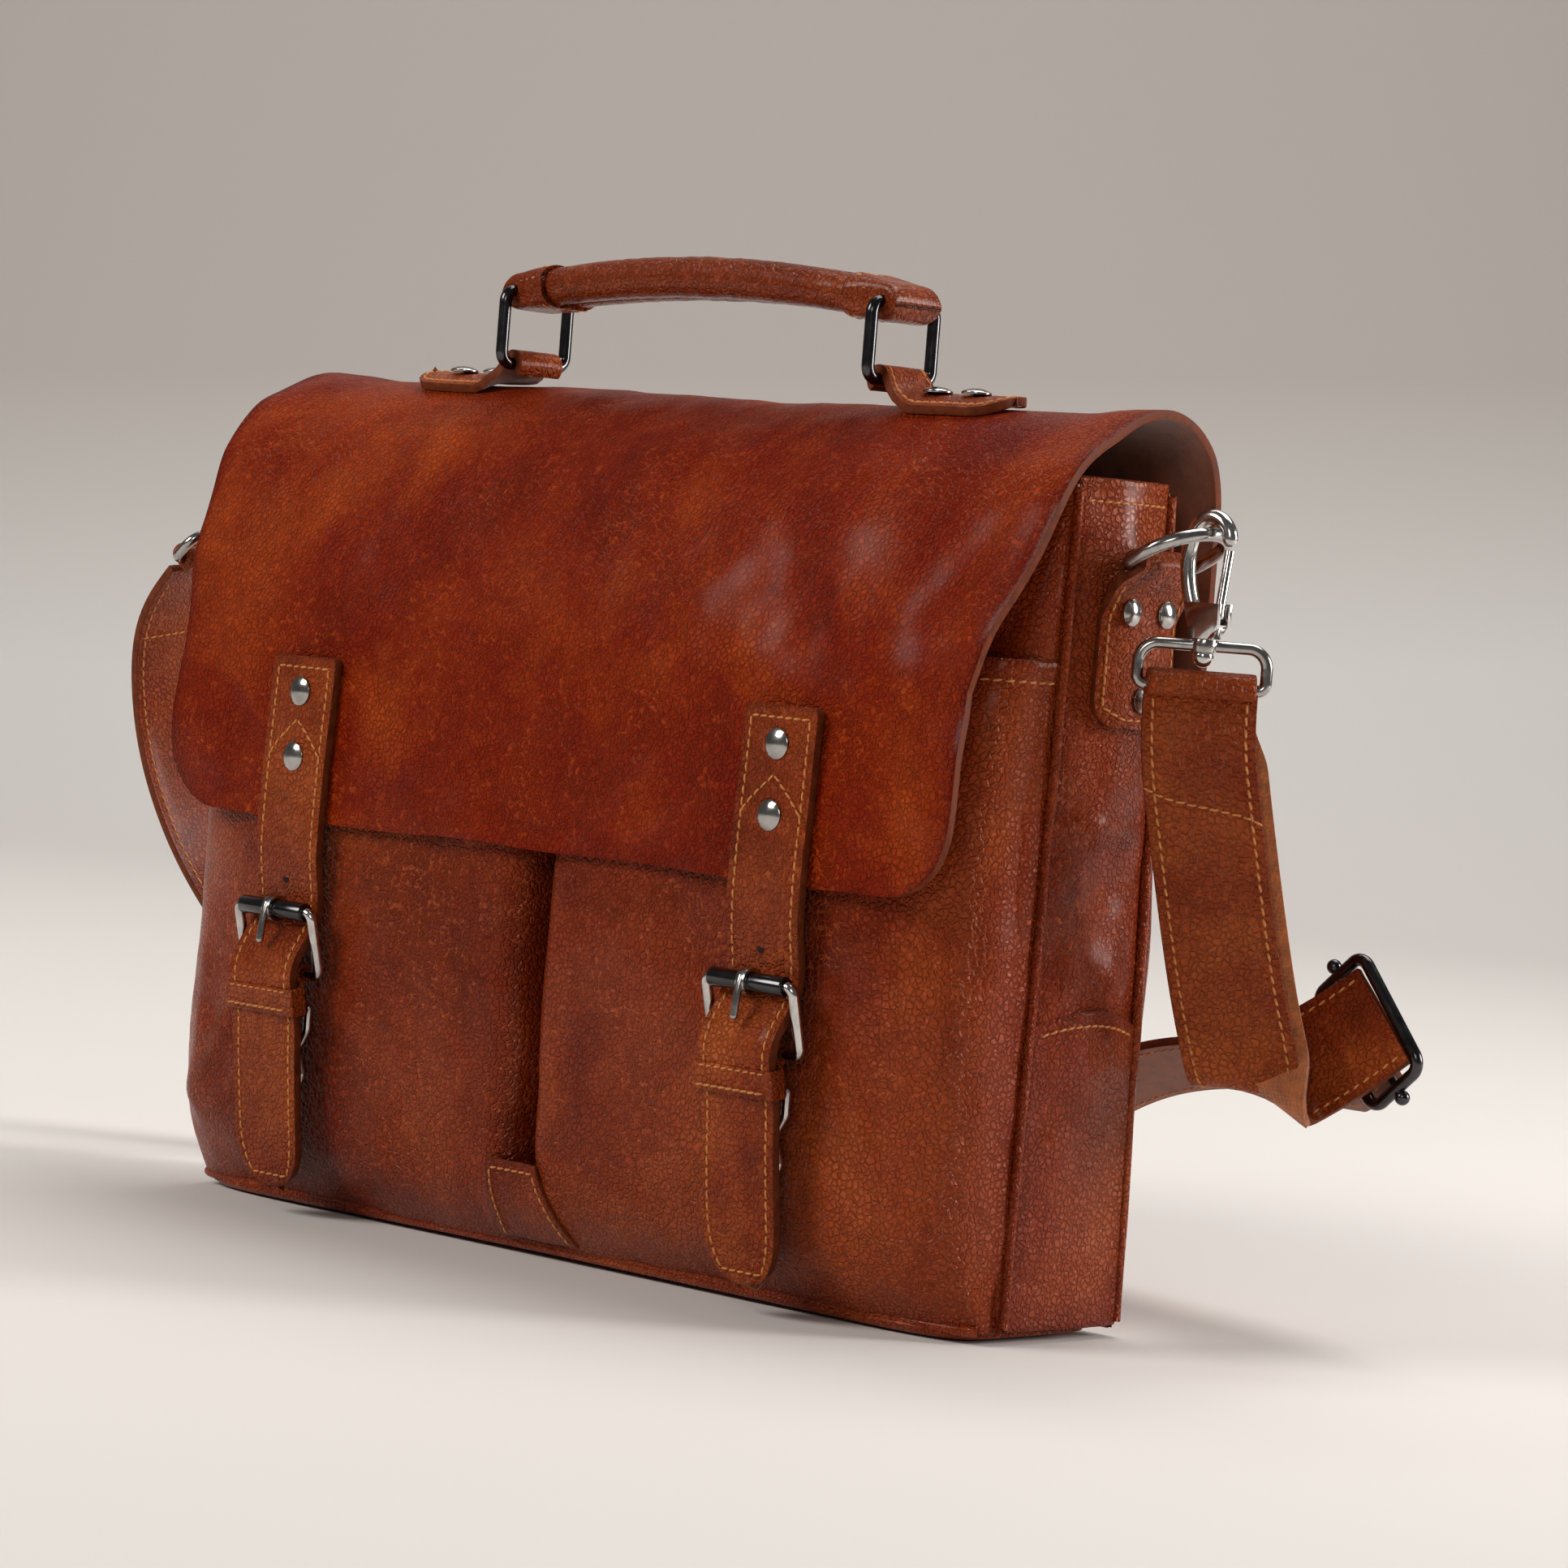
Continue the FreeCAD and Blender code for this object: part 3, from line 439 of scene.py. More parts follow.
def put_all(tree, node, inputs):
    """Gives each named input of a node its value, or a link from another node's output."""
    for name, value in inputs.items():
        if isinstance(value, bpy.types.NodeSocket):
            tree.links.new(value, node.inputs[name])
        else:
            node.inputs[name].default_value = value


def add_node(tree, kind, inputs, **settings):
    node = tree.nodes.new("ShaderNode" + kind)
    for name, value in settings.items():
        setattr(node, name, value)
    put_all(tree, node, inputs)
    return node


def noise_map(tree, coords, scale, detail=4.0, rough=0.55, bend=0.0):
    inputs = {"Vector": coords, "Scale": scale, "Detail": detail, "Roughness": rough, "Distortion": bend}
    return add_node(tree, "TexNoise", inputs).outputs["Fac"]


def cell_map(tree, coords, scale, feature, randomness=1.0):
    inputs = {"Vector": coords, "Scale": scale, "Randomness": randomness}
    return add_node(tree, "TexVoronoi", inputs, feature=feature).outputs["Distance"]


def stretched(tree, coords, scale):
    return add_node(tree, "Mapping", {"Vector": coords, "Scale": scale}).outputs["Vector"]


def warped(tree, coords, scale, amount):
    """Coordinates pushed about by noise, so that cells don't look regular."""
    push = add_node(tree, "TexNoise", {"Vector": coords, "Scale": scale, "Detail": 2}).outputs["Color"]
    inputs = {0: push, 1: (amount, amount, amount), 2: coords}
    return add_node(tree, "VectorMath", inputs, operation="MULTIPLY_ADD").outputs["Vector"]


def ramp(tree, value, stops):
    node = tree.nodes.new("ShaderNodeValToRGB")
    tree.links.new(value, node.inputs["Fac"])
    ends = node.color_ramp.elements
    while len(ends) < len(stops):
        ends.new(0.5)
    for end, (where, colour) in zip(ends, stops):
        end.position = where
        end.color = (*colour, 1) if hasattr(colour, "__len__") else (colour, colour, colour, 1)
    return node.outputs["Color"]


def mixed(tree, share, first, second, how="MIX"):
    inputs = {"Factor": share, 6: first, 7: second}
    return add_node(tree, "Mix", inputs, data_type="RGBA", blend_type=how).outputs[2]


def bumped(tree, height, distance, strength=1.0, below=None):
    """A bump of this distance in mm, on top of another if one is given."""
    inputs = {"Height": height, "Distance": distance * MM, "Strength": strength}
    if below:
        inputs["Normal"] = below
    return add_node(tree, "Bump", inputs).outputs["Normal"]


def ranged(tree, value, low, high, least=0.3, most=0.7):
    """Values from least to most spread over low to high."""
    inputs = {"Value": value, "From Min": least, "From Max": most, "To Min": low, "To Max": high}
    return add_node(tree, "MapRange", inputs).outputs["Result"]


def leather(name, dark, mid, light, gloss=(0.3, 0.48), size=1.0, coat=0.15, specular=0.28):
    """Pull-up leather: mottled tone, fine cracked grain, soft creases and worn gloss, darker at sheet edges,
    which is partly burnished wear and partly painted shade.
    """
    material, tree, shader, coords = new_material(name)
    white = (1, 1, 1, 1)
    large = noise_map(tree, coords, 10 * size, 6, 0.66, 0.5)
    base_colour = ramp(tree, large, [(0.34, dark), (0.5, mid), (0.68, light)])
    patch = ramp(tree, noise_map(tree, coords, 42 * size, 6, 0.65, 0.4), [(0.32, 0.66), (0.6, 1.0)])
    base_colour = mixed(tree, 0.5, base_colour, patch, "MULTIPLY")
    crack = cell_map(tree, warped(tree, coords, 260, 0.0026), 440, "DISTANCE_TO_EDGE")
    lines = ramp(tree, crack, [(0.0, 0.0), (0.2, 1.0)])
    where = ramp(tree, noise_map(tree, coords, 26, 4, 0.6), [(0.34, 0.25), (0.58, 1.0)])
    cracks = mixed(tree, where, white, lines)
    worn = ramp(tree, cracks, [(0.0, light), (1.0, mid)])
    shown = ramp(tree, cracks, [(0.0, 0.85), (0.9, 0.0)])
    base_colour = mixed(tree, shown, base_colour, worn)
    vein = cell_map(tree, warped(tree, coords, 60, 0.012), 75, "DISTANCE_TO_EDGE")
    veins = ramp(tree, vein, [(0.0, 0.0), (0.05, 1.0)])
    faint = ramp(tree, noise_map(tree, coords, 18, 3, 0.5), [(0.5, 0.0), (0.66, 0.6)])
    creases = mixed(tree, faint, white, veins)
    base_colour = mixed(tree, 0.3, base_colour, creases, "MULTIPLY")
    # Darkening towards the dark tone where the sheet's attribute says: partly burnished edge wear, partly
    # painted shade along the seams.
    edge = add_node(tree, "Attribute", {}, attribute_name="burnish_and_shade")
    base_colour = mixed(tree, edge.outputs["Fac"], base_colour, (*dark, 1))
    gloss_map = ranged(tree, noise_map(tree, coords, 60, 5, 0.6), *gloss)
    folds = noise_map(tree, stretched(tree, coords, (1, 1, 1.7)), 55, 6, 0.62, 0.6)
    bump = bumped(tree, folds, 2.2, 0.55)
    bump = bumped(tree, creases, 0.35, 0.5, bump)
    bump = bumped(tree, lines, 0.7, 1.0, bump)
    bump = bumped(tree, noise_map(tree, coords, 1500, 3, 0.6), 0.12, 0.5, bump)
    put_all(tree, shader, {
        "Base Color": base_colour, "Roughness": gloss_map, "Normal": bump, "Specular IOR Level": specular,
        "Specular Tint": (1.0, 0.36, 0.2, 1), "Coat Weight": coat, "Coat Roughness": 0.2})
    return material


def suede(name, colour, weave=False):
    """Flesh side of the leather, or the napped webbing."""
    material, tree, shader, coords = new_material(name)
    dark = tuple(c * 0.55 for c in colour)
    base_colour = ramp(tree, noise_map(tree, coords, 160, 6, 0.7), [(0.35, dark), (0.62, colour)])
    fuzz = noise_map(tree, coords, 1400, 4, 0.8)
    bump = bumped(tree, fuzz, 0.6, 0.8)
    if weave:
        bump = bumped(tree, cell_map(tree, coords, 700, "F1", 0.4), 0.7, 0.9, bump)
    put_all(tree, shader, {
        "Base Color": base_colour, "Normal": bump, "Roughness": ranged(tree, fuzz, 0.82, 0.98),
        "Sheen Weight": 0.35, "Sheen Roughness": 0.5})
    return material


def cut_edge(name, colour):
    """Painted raw edge of the leather; in near black it is also the painted shade of a strap's hole."""
    material, tree, shader, coords = new_material(name)
    dark = tuple(c * 0.5 for c in colour)
    streak = noise_map(tree, coords, 350, 4, 0.65)
    put_all(tree, shader, {
        "Base Color": ramp(tree, streak, [(0.35, dark), (0.65, colour)]),
        "Roughness": ranged(tree, streak, 0.5, 0.7), "Normal": bumped(tree, streak, 0.3, 0.6),
        "Specular IOR Level": 0.15})
    return material


def metal(name, colour, rough):
    """Polished plated metal with faint wear."""
    material, tree, shader, coords = new_material(name)
    wear = noise_map(tree, coords, 190, 5, 0.65)
    dark = tuple(c * 0.72 for c in colour)
    put_all(tree, shader, {
        "Base Color": ramp(tree, wear, [(0.35, dark), (0.6, colour)]),
        "Roughness": ranged(tree, wear, rough, rough * 2.0),
        "Normal": bumped(tree, noise_map(tree, coords, 900, 2), 0.02, 0.15), "Metallic": 1.0})
    return material


def thread_material():
    """Waxed thread with the twist of its strands."""
    material, tree, shader, coords = new_material("thread")
    twist = noise_map(tree, coords, 900, 2)
    put_all(tree, shader, {
        "Base Color": ramp(tree, twist, [(0.3, (0.38, 0.11, 0.018)), (0.7, (0.62, 0.25, 0.06))]),
        "Roughness": ranged(tree, twist, 0.55, 0.75), "Normal": bumped(tree, twist, 0.2, 0.5)})
    return material


def backdrop_material(up):
    """Seamless paper, pale at the floor and greyer as it rises: the greying is painted shade, for the light
    that falls off higher up.
    """
    material, tree, shader, coords = new_material("backdrop")
    height = add_node(tree, "VectorMath", {0: coords, 1: up}, operation="DOT_PRODUCT").outputs["Value"]
    # The ramp paints shade: the backdrop darkens with height, as the light falls off.
    paper_and_painted_shade = ramp(tree, ranged(tree, height, 0.0, 1.0, 0.02, 0.75),
                 [(0.0, (0.70, 0.67, 0.64)), (0.35, (0.69, 0.67, 0.64)), (0.75, (0.48, 0.44, 0.41))])
    rough = ranged(tree, noise_map(tree, coords, 6), 0.75, 0.85)
    put_all(tree, shader, {"Base Color": paper_and_painted_shade, "Roughness": rough})
    return material


# Body of the bag


def edge_shade(surface, ends=(1, 1, 1, 1), reach=0.02):
    """1 at the chosen edges of a grid (top, bottom, left, right) falling to 0 within a share of its size."""
    rows, columns = surface.shape[:2]
    v = np.linspace(0, 1, rows)[:, None] + np.zeros((1, columns))
    u = np.linspace(0, 1, columns)[None, :] + np.zeros((rows, 1))
    shade = np.zeros((rows, columns))
    for near, use in zip((v, 1 - v, u, 1 - u), ends):
        shade = np.maximum(shade, use * np.exp(-near / reach))
    return shade


def crowned(outline_y, seam_y, x):
    """Depth of a panel that reaches its outline at mid width and its seams at both sides."""
    return seam_y[:, None] + (outline_y - seam_y)[:, None] * crown(x)[None, :]


def wall_surface(profile, facing, step=3.0):
    """Crowned front or back wall; facing -1 for the front."""
    line = cubic(profile, step)[::-1]
    x = crown_stations(-WIDTH / 2, WIDTH / 2, 151) * facing * -1
    return grid_of(x, crowned(line[:, 0], facing * half_depth(line[:, 1]), x), line[:, 1:])


def make_walls(finish):
    front = rumple(wall_surface(FRONT_WALL, -1), 1.0, 60, 3.1)
    wall = sheet_piece("front_wall", front, LEATHER, "bag", finish)
    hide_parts("front_panel")
    back = wall_surface(BACK_WALL, 1)
    keep = 1 - smooth((back[:, :, 2] - 215) / 30)
    back = rumple(back, 1.6, 75, 8.4, keep)
    worn_and_shaded_sheet("back_wall", "back_panel", back, LEATHER, "bag", finish,
               0.55 * edge_shade(back, reach=0.03))


def pocket_surface(side):
    """Front of a pocket: x from the centre gap, where it rounds back, out to the side seam."""
    line = cubic(POCKET_FRONT, 2.6)[::-1]
    wall = cubic(FRONT_WALL, 2.0)
    fine_wide, lip_wide, lip_power = 16, 15.0, 2.6
    ease = np.linspace(0, 1, 15) ** 1.6
    outer = crown_stations(POCKET_GAP + fine_wide, WIDTH / 2, 88)
    x = np.concatenate([POCKET_GAP + fine_wide * ease[:-1], outer])
    behind = np.interp(line[:, 1], wall[:, 1], wall[:, 0]) - 1.0
    seam = -half_depth(line[:, 1])
    front_y, back_y = crowned(line[:, 0], seam, x), crowned(behind, seam, x)
    near = np.clip((x - POCKET_GAP) / lip_wide, 0, 1)
    lip = (1 - (1 - near) ** lip_power) ** (1 / lip_power)
    surface = grid_of(side * x, back_y + (front_y - back_y) * lip, line[:, 1:])
    return surface if side > 0 else surface[:, ::-1]


def pocket_pleats(surface, side):
    """Height of the folds that fan out from a pocket's lower outer corner."""
    x, z = surface[:, :, 0] - side * 192.0, surface[:, :, 2] - 30.0
    pleats = np.zeros(surface.shape[:2])
    for turn, high in ((0.5, 1.5), (0.95, 1.9), (1.35, 1.2)):
        run = -side * x * math.cos(turn) + z * math.sin(turn)
        off = side * x * math.sin(turn) + z * math.cos(turn) + 5 * np.sin(run / 17.0)
        pleats += high * np.exp(-(off / 5.5) ** 2) * smooth(run / 14) * smooth((88 - run) / 50)
    return pleats


def make_pocket(side, finish, thread):
    name = hand(side)
    surface = pocket_surface(side)
    keep = 0.35 + 0.65 * away_from(surface, side * STRAP_X, 20, 14)
    surface = rumple(surface, 1.9, 62, 5.2 * side + 2, keep)
    surface = rumple(surface, 0.7, 19, 9.2 * side + 4, keep * smooth((150 - surface[:, :, 2]) / 90))
    surface = raised(surface, pocket_pleats(surface, side) * keep)
    hem = np.exp(-((surface[:, :, 2] - 228) / 8.0) ** 4)
    surface = raised(surface, 0.8 * hem)
    worn_and_shaded_sheet("pocket_front_" + name, "pocket_" + name, surface, LEATHER, "bag", finish,
               edge_shade(surface, (0.35, 0.5, 0.5, 0.5), 0.022))
    runs = Thread()
    runs.sew(surface, [(0.033, 0.03), (0.033, 0.985)])
    runs.made("pocket_stitches_" + name, "bag", thread)


def half_depth(z):
    """Half the depth of the bag at its side seams, at a height."""
    return SEAM_Y - TAPER * z / HEIGHT


def bulge_at(z):
    """How far a gusset stands out at a height, eased from mark to mark."""
    heights, outs = zip(*GUSSET_BULGE)
    k = np.clip(np.searchsorted(heights, z) - 1, 0, len(heights) - 2)
    share = smooth((z - heights[k]) / (heights[k + 1] - heights[k]))
    return outs[k] + (outs[k + 1] - outs[k]) * share


def gusset_surface(side, top, lift):
    heights = np.arange(top, GUSSET_FOOT - 0.01, -2.2)
    across = np.linspace(-1, 1, 31)
    bulge = np.array([bulge_at(z) for z in heights])[:, None] * np.cos(across * math.pi / 2)
    heights = heights[:, None]
    surface = grid_of(side * (WIDTH / 2 + bulge + lift), across * half_depth(heights), heights)
    return surface if side > 0 else surface[:, ::-1]


def dented(surface, side):
    """Soft dents pressed into a gusset."""
    moved = surface.copy()
    for y, z, wide, tall, deep in GUSSET_DENTS:
        reach = ((surface[:, :, 1] - y) / wide) ** 2 + ((surface[:, :, 2] - z) / tall) ** 2
        moved[:, :, 0] -= side * deep * np.exp(-reach)
    return moved


def off_seams(surface):
    """1 in the middle of a gusset, 0 near its two seams."""
    return 1 - smooth((np.abs(surface[:, :, 1]) - 20) / 7)


def make_gusset(side, finish, thread):
    name = hand(side)
    surface = dented(gusset_surface(side, HEIGHT, 0), side)
    surface = rumple(surface, 1.7, 34, 6.3 * side + 1, off_seams(surface))
    worn_and_shaded_sheet("gusset_side_" + name, "gusset_" + name, surface, 2.6, "bag", finish,
               0.6 * edge_shade(surface, (0.5, 1, 1, 1), 0.07))
    arch = 5.5
    patch = gusset_surface(side, GUSSET_PATCH_TOP + 5, 1.5)
    rise = arch * (1 - (patch[:, :, 1] / half_depth(100)) ** 2)
    patch[:, :, 2] += (rise - arch) * smooth((patch[:, :, 2] - 70) / 42)
    patch = rumple(patch, 1.3, 30, 2.3 * side + 5, off_seams(patch))
    worn_and_shaded_sheet("gusset_low_" + name, "gusset_patch_" + name, patch, 1.8, "bag", finish,
               0.7 * edge_shade(patch, (0.6, 1, 1, 1), 0.06))
    runs = Thread()
    for grid, row in ((surface, 0.028), (patch, 0.045)):
        runs.sew(grid, [(row, 0.07), (row, 0.93)], 3.6)
    runs.made("gusset_stitches_" + name, "bag", thread)


def make_base(skin):
    """Floor of the bag, its corners rounded and its edges turned up a little."""
    half_x, front, back = WIDTH / 2 - 1.5, -48.0, SEAM_Y
    middle_y = (front + back) / 2
    turn = np.linspace(2 * math.pi, 0, 97)[:-1]
    rings = ((0.0, 0.9), (0.5, 0.9), (0.9, 0.6), (0.975, 0.9), (1.0, 2.4), (0.998, 4.2), (0.96, 5.0),
             (0.5, 4.4), (0.0, 4.4))
    places = []
    for share, z in rings:
        for angle in turn:
            c, s = math.cos(angle), math.sin(angle)
            x = math.copysign(abs(c) ** 0.22, c) * half_x * share
            y = middle_y + math.copysign(abs(s) ** 0.3, s) * (back - middle_y) * share
            lift = 3.2 * math.cos(min(abs(x) / 190, 1) * math.pi / 2) * (1 if y < middle_y else 0.5) * share
            places.append((x, y, z + (lift if z < 4 else 0) * 0.35))
    faces = grid_faces(len(rings), len(turn), True)
    base = mesh_piece("base_sole", places, faces, "bag", [skin])
    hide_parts("base_panel")


def make_piping(skin):
    """Welts up the four corners and round the foot of the bag."""
    faces = ((-1, "front", POCKET_FRONT), (1, "back", BACK_WALL))
    for side in (-1, 1):
        x = side * (WIDTH / 2 + 0.9)
        for face, way, _ in faces:
            line = []
            for z in np.linspace(5.5, HEIGHT - 4, 90):
                wander = 0.8 * noise.noise(Vector((z / 30, side, face)))
                line.append((x + wander, face * (half_depth(z) + 0.7), z))
            name = f"welt_{hand(side)}_{way}"
            welt = tube_piece(name, np.array(line), 1.75, "bag", [skin])
            if side > 0 and face > 0:
                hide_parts("piping")
    x = np.linspace(-198, 198, 140)
    z = 4.6 + 1.0 * np.cos(np.clip(x / 190, -1, 1) * math.pi / 2)
    for face, way, profile in faces:
        y = face * SEAM_Y + (profile[0][0] - face * SEAM_Y) * crown(x) + face * 0.4
        tube_piece("welt_foot_" + way, np.column_stack([x, y, z]), 1.9, "bag", [skin])


def make_bottom_patch(finish, thread):
    """Small four-sided patch that closes the foot of the centre gap."""
    line = cubic(POCKET_FRONT, 1.5)
    line = line[(line[:, 1] > 6) & (line[:, 1] < PATCH_TOP)][::-1]
    half = np.array([12.5 + 7.5 * (i / (len(line) - 1)) ** 0.9 for i in range(len(line))])
    surface = grid_of(np.linspace(-1, 1, 19) * half[:, None], line[:, :1] - 1.9, line[:, 1:])
    surface = rumple(surface, 0.5, 14, 4.4)
    worn_and_shaded_sheet("foot_patch", "bottom_patch", surface, 1.9, "bag", finish,
               0.6 * edge_shade(surface, reach=0.06), 0.5)
    runs = Thread()
    for path in ([(0.09, 0.09), (0.09, 0.91)], [(0.11, 0.09), (0.97, 0.09)], [(0.11, 0.91), (0.97, 0.91)]):
        runs.sew(surface, path, 3.4)
    runs.made("foot_patch_stitches", "bag", thread)


# Flap and front straps


def flap_surface():
    """Flap from the back seam, over the top and down the front; rows end at the lower edge."""
    line = cubic([(42.6, 222), (43.6, 236)] + FLAP_OUTER, 0.5)
    total = run_of(line)[-1]
    main = np.arange(0, total - FLAP_CORNER, 2.7)
    last = total - FLAP_CORNER * (1 - np.sin(np.linspace(0, 1, 17) * math.pi / 2))
    where = np.concatenate([main[:-1], last])
    profile = along(line, where)
    from_edge = total - where
    cut = np.maximum(FLAP_CORNER - from_edge, 0)
    corner = FLAP_CORNER - np.sqrt(np.maximum(FLAP_CORNER ** 2 - cut ** 2, 0))
    marks, *sides = zip(*FLAP_SIDES)
    right, left = ((np.interp(from_edge, marks, side) - corner)[:, None] for side in sides)
    across = np.linspace(-1, 1, 157)
    x = np.where(across > 0, across * right, across * left)
    return grid_of(x, profile[:, :1], profile[:, 1:]), from_edge


def flap_keep(surface, from_edge):
    """Where the flap may wave: less under the straps, the handle tabs and the back seam."""
    keep = np.ones(surface.shape[:2])
    for side in (-1, 1):
        under_strap = 1 - away_from(surface, side * STRAP_X, 19, 22)
        keep -= under_strap * smooth((78 - from_edge) / 14)[:, None] * 0.92
        near_tab = np.exp(-((surface[:, :, 0] - side * 145) / 50.0) ** 4) * (surface[:, :, 2] > 295)
        near_tab *= np.exp(-(surface[:, :, 1] / 24.0) ** 4)
        keep -= near_tab * 0.95
    at_back = (surface[:, :, 1] > 0) & (surface[:, :, 2] < 262)
    keep *= np.where(at_back, smooth((surface[:, :, 2] - 236) / 26), 1.0)
    return np.clip(keep, 0, 1)


def make_flap(finish, thread):
    surface, from_edge = flap_surface()
    keep = flap_keep(surface, from_edge)
    surface = rumple(surface, 3.0, 85, 12.7, keep)
    surface = rumple(surface, 1.5, 34, 21.3, keep)
    side_wave = smooth((np.abs(surface[:, :, 0]) - 160) / 40) * keep
    wave = np.array([noise.noise(Vector((s / 44.0, 3.3, 0))) for s in from_edge])
    surface = raised(surface, side_wave * (3.6 * wave[:, None] + 1.2))
    low_wave = np.array([noise.noise(Vector((x / 60.0, 7.7, 0))) for x in surface[-1, :, 0]])
    surface[:, :, 2] += 1.8 * low_wave[None, :] * np.exp(-from_edge / 22.0)[:, None]
    flap = worn_and_shaded_sheet("flap_leather", "flap", surface, 2.9, None, finish,
                      0.85 * edge_shade(surface, (0, 1, 1, 1), 0.008), 0.9)
    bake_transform(flap)
    runs = Thread()
    for row in (0.02, 0.038):
        runs.sew(surface, [(row, 0.015), (row, 0.985)])
    runs.made("flap_seam_stitches", "bag", thread)


def strap_crown(across, half, stitch_out, high, groove):
    """Height of a strap's face across it: crowned, with a groove along the stitches near each edge."""
    share = np.abs(across)
    return high * (1 - share ** 3) - groove * np.exp(-((share * half - stitch_out) / 1.3) ** 2)


def strap_surface(side):
    """Face of a front strap from the flap down to its round tip, and the length of the strap."""
    tip, tip_power = 24.0, 2.3
    line = cubic(STRAP_OUTER, 0.4)
    total = run_of(line)[-1]
    main = np.arange(3.4, total - tip, 1.5)
    last = total - tip * (1 - np.sin(np.linspace(0, 0.9, 18) * math.pi / 2))
    where = np.concatenate([[0.0, 0.5, 1.2, 2.0, 2.8], main[:-1], last])
    profile = along(line, where)
    left = np.clip((total - where) / tip, 0, 1)
    half = STRAP_HALF - 1.6 * np.maximum(1 - where / 1.6, 0)
    half = np.maximum(half * (1 - (1 - left) ** tip_power) ** (1 / tip_power), 0.4)
    across = np.sin(np.linspace(-1, 1, 25) * math.pi / 2)
    surface = grid_of(side * STRAP_X + across * half[:, None], profile[:, :1], profile[:, 1:])
    lift = strap_crown(across, STRAP_HALF, STRAP_STITCH, 0.35, 0.28)
    return raised(surface, lift[None, :]), total


def make_front_strap(side, finish, thread, hole_shade):
    name = hand(side)
    surface, total = strap_surface(side)
    surface = rumple(surface, 0.35, 26, 3.3 * side + 6)
    shade = 0.75 * edge_shade(surface, (1, 1, 0, 0), 0.012) + 0.5 * edge_shade(surface, (0, 0, 1, 1), 0.05)
    worn_and_shaded_sheet("buckle_strap_" + name, "front_strap_" + name, surface, STRAP_THICK, "flap", finish,
               shade, 0.6)
    run = run_of(surface[:, 12])
    top, peak, foot, hole, low = (row_share(s, run) for s in (4.2, 23.5, 37.0, 82.0, total - 5.0))
    right = column_share(STRAP_STITCH, STRAP_HALF)
    left = 1 - right
    runs = Thread()
    for u in (right, left):
        runs.sew(surface, [(top, u), (low, u)], 3.9)
    runs.sew(surface, [(top, left), (top, right)], 3.9)
    runs.sew(surface, [(low, left), (low, right)], 3.2)
    for u in (right, left):
        runs.sew(surface, [(peak, 0.5), (foot, u)], 3.6)
    runs.made("buckle_strap_stitches_" + name, "flap", thread)
    # A flat near-black disc laid on the strap: painted shade standing in for the shadowed opening of the
    # hole.
    centre = between(surface, hole, 0.5) + between(normals_of(surface), hole, 0.5) * 0.06
    ring = [centre + 1.7 * np.array([math.cos(turn), 0, math.sin(turn)])
            for turn in np.linspace(0, 2 * math.pi, 16, endpoint=False)]
    mesh_piece("strap_hole_shade_" + name, ring, [tuple(range(16))], "flap", [hole_shade])


def softened(name, frame, node, voxel, turns, body, finish):
    """A small leather part: the frame's shape with its edges worn round."""
    mesh = frame["nodes"][node].data.copy()
    mesh.materials.clear()
    piece = bpy.data.objects.new(name, mesh)
    bpy.context.scene.collection.objects.link(piece)
    remesh = piece.modifiers.new("remesh", "REMESH")
    remesh.mode = "VOXEL"
    remesh.voxel_size = voxel * MM
    ease = piece.modifiers.new("ease", "SMOOTH")
    ease.factor = 0.5
    ease.iterations = turns
    graph = bpy.context.evaluated_depsgraph_get()
    piece.data = bpy.data.meshes.new_from_object(piece.evaluated_get(graph))
    piece.modifiers.clear()
    give_finish(piece.data, [finish])
    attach(piece, body)
    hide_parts(node)


def make_keeper(side, frame, skin, thread):
    """Keeper and buckle loop of a front strap, with two rows of stitches in front of the keeper."""
    name = hand(side)
    for piece, node in (("keeper_loop_", "keeper_"), ("chape_loop_", "chape_")):
        softened(piece + name, frame, node + name, 0.6, 5, "flap", skin)
    low, high = (np.array(v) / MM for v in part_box("keeper_" + name))
    runs = Thread()
    for share in (0.22, 0.78):
        y = low[1] + 1.1 * (share - 0.22)
        z = low[2] + share * (high[2] - low[2])
        line = np.array([[side * STRAP_X + x, y, z] for x in np.linspace(-15.5, 15.5, 9)])
        runs.run(line, np.tile([0.0, -1.0, 0.0], (9, 1)), pitch=3.2)
    runs.made("keeper_stitches_" + name, "flap", thread)


# Handle


def handle_rise(x):
    """How far the middle line of the grip stands above the rings."""
    share = x / RING_X
    return HANDLE_RISE * (1 - share * share)


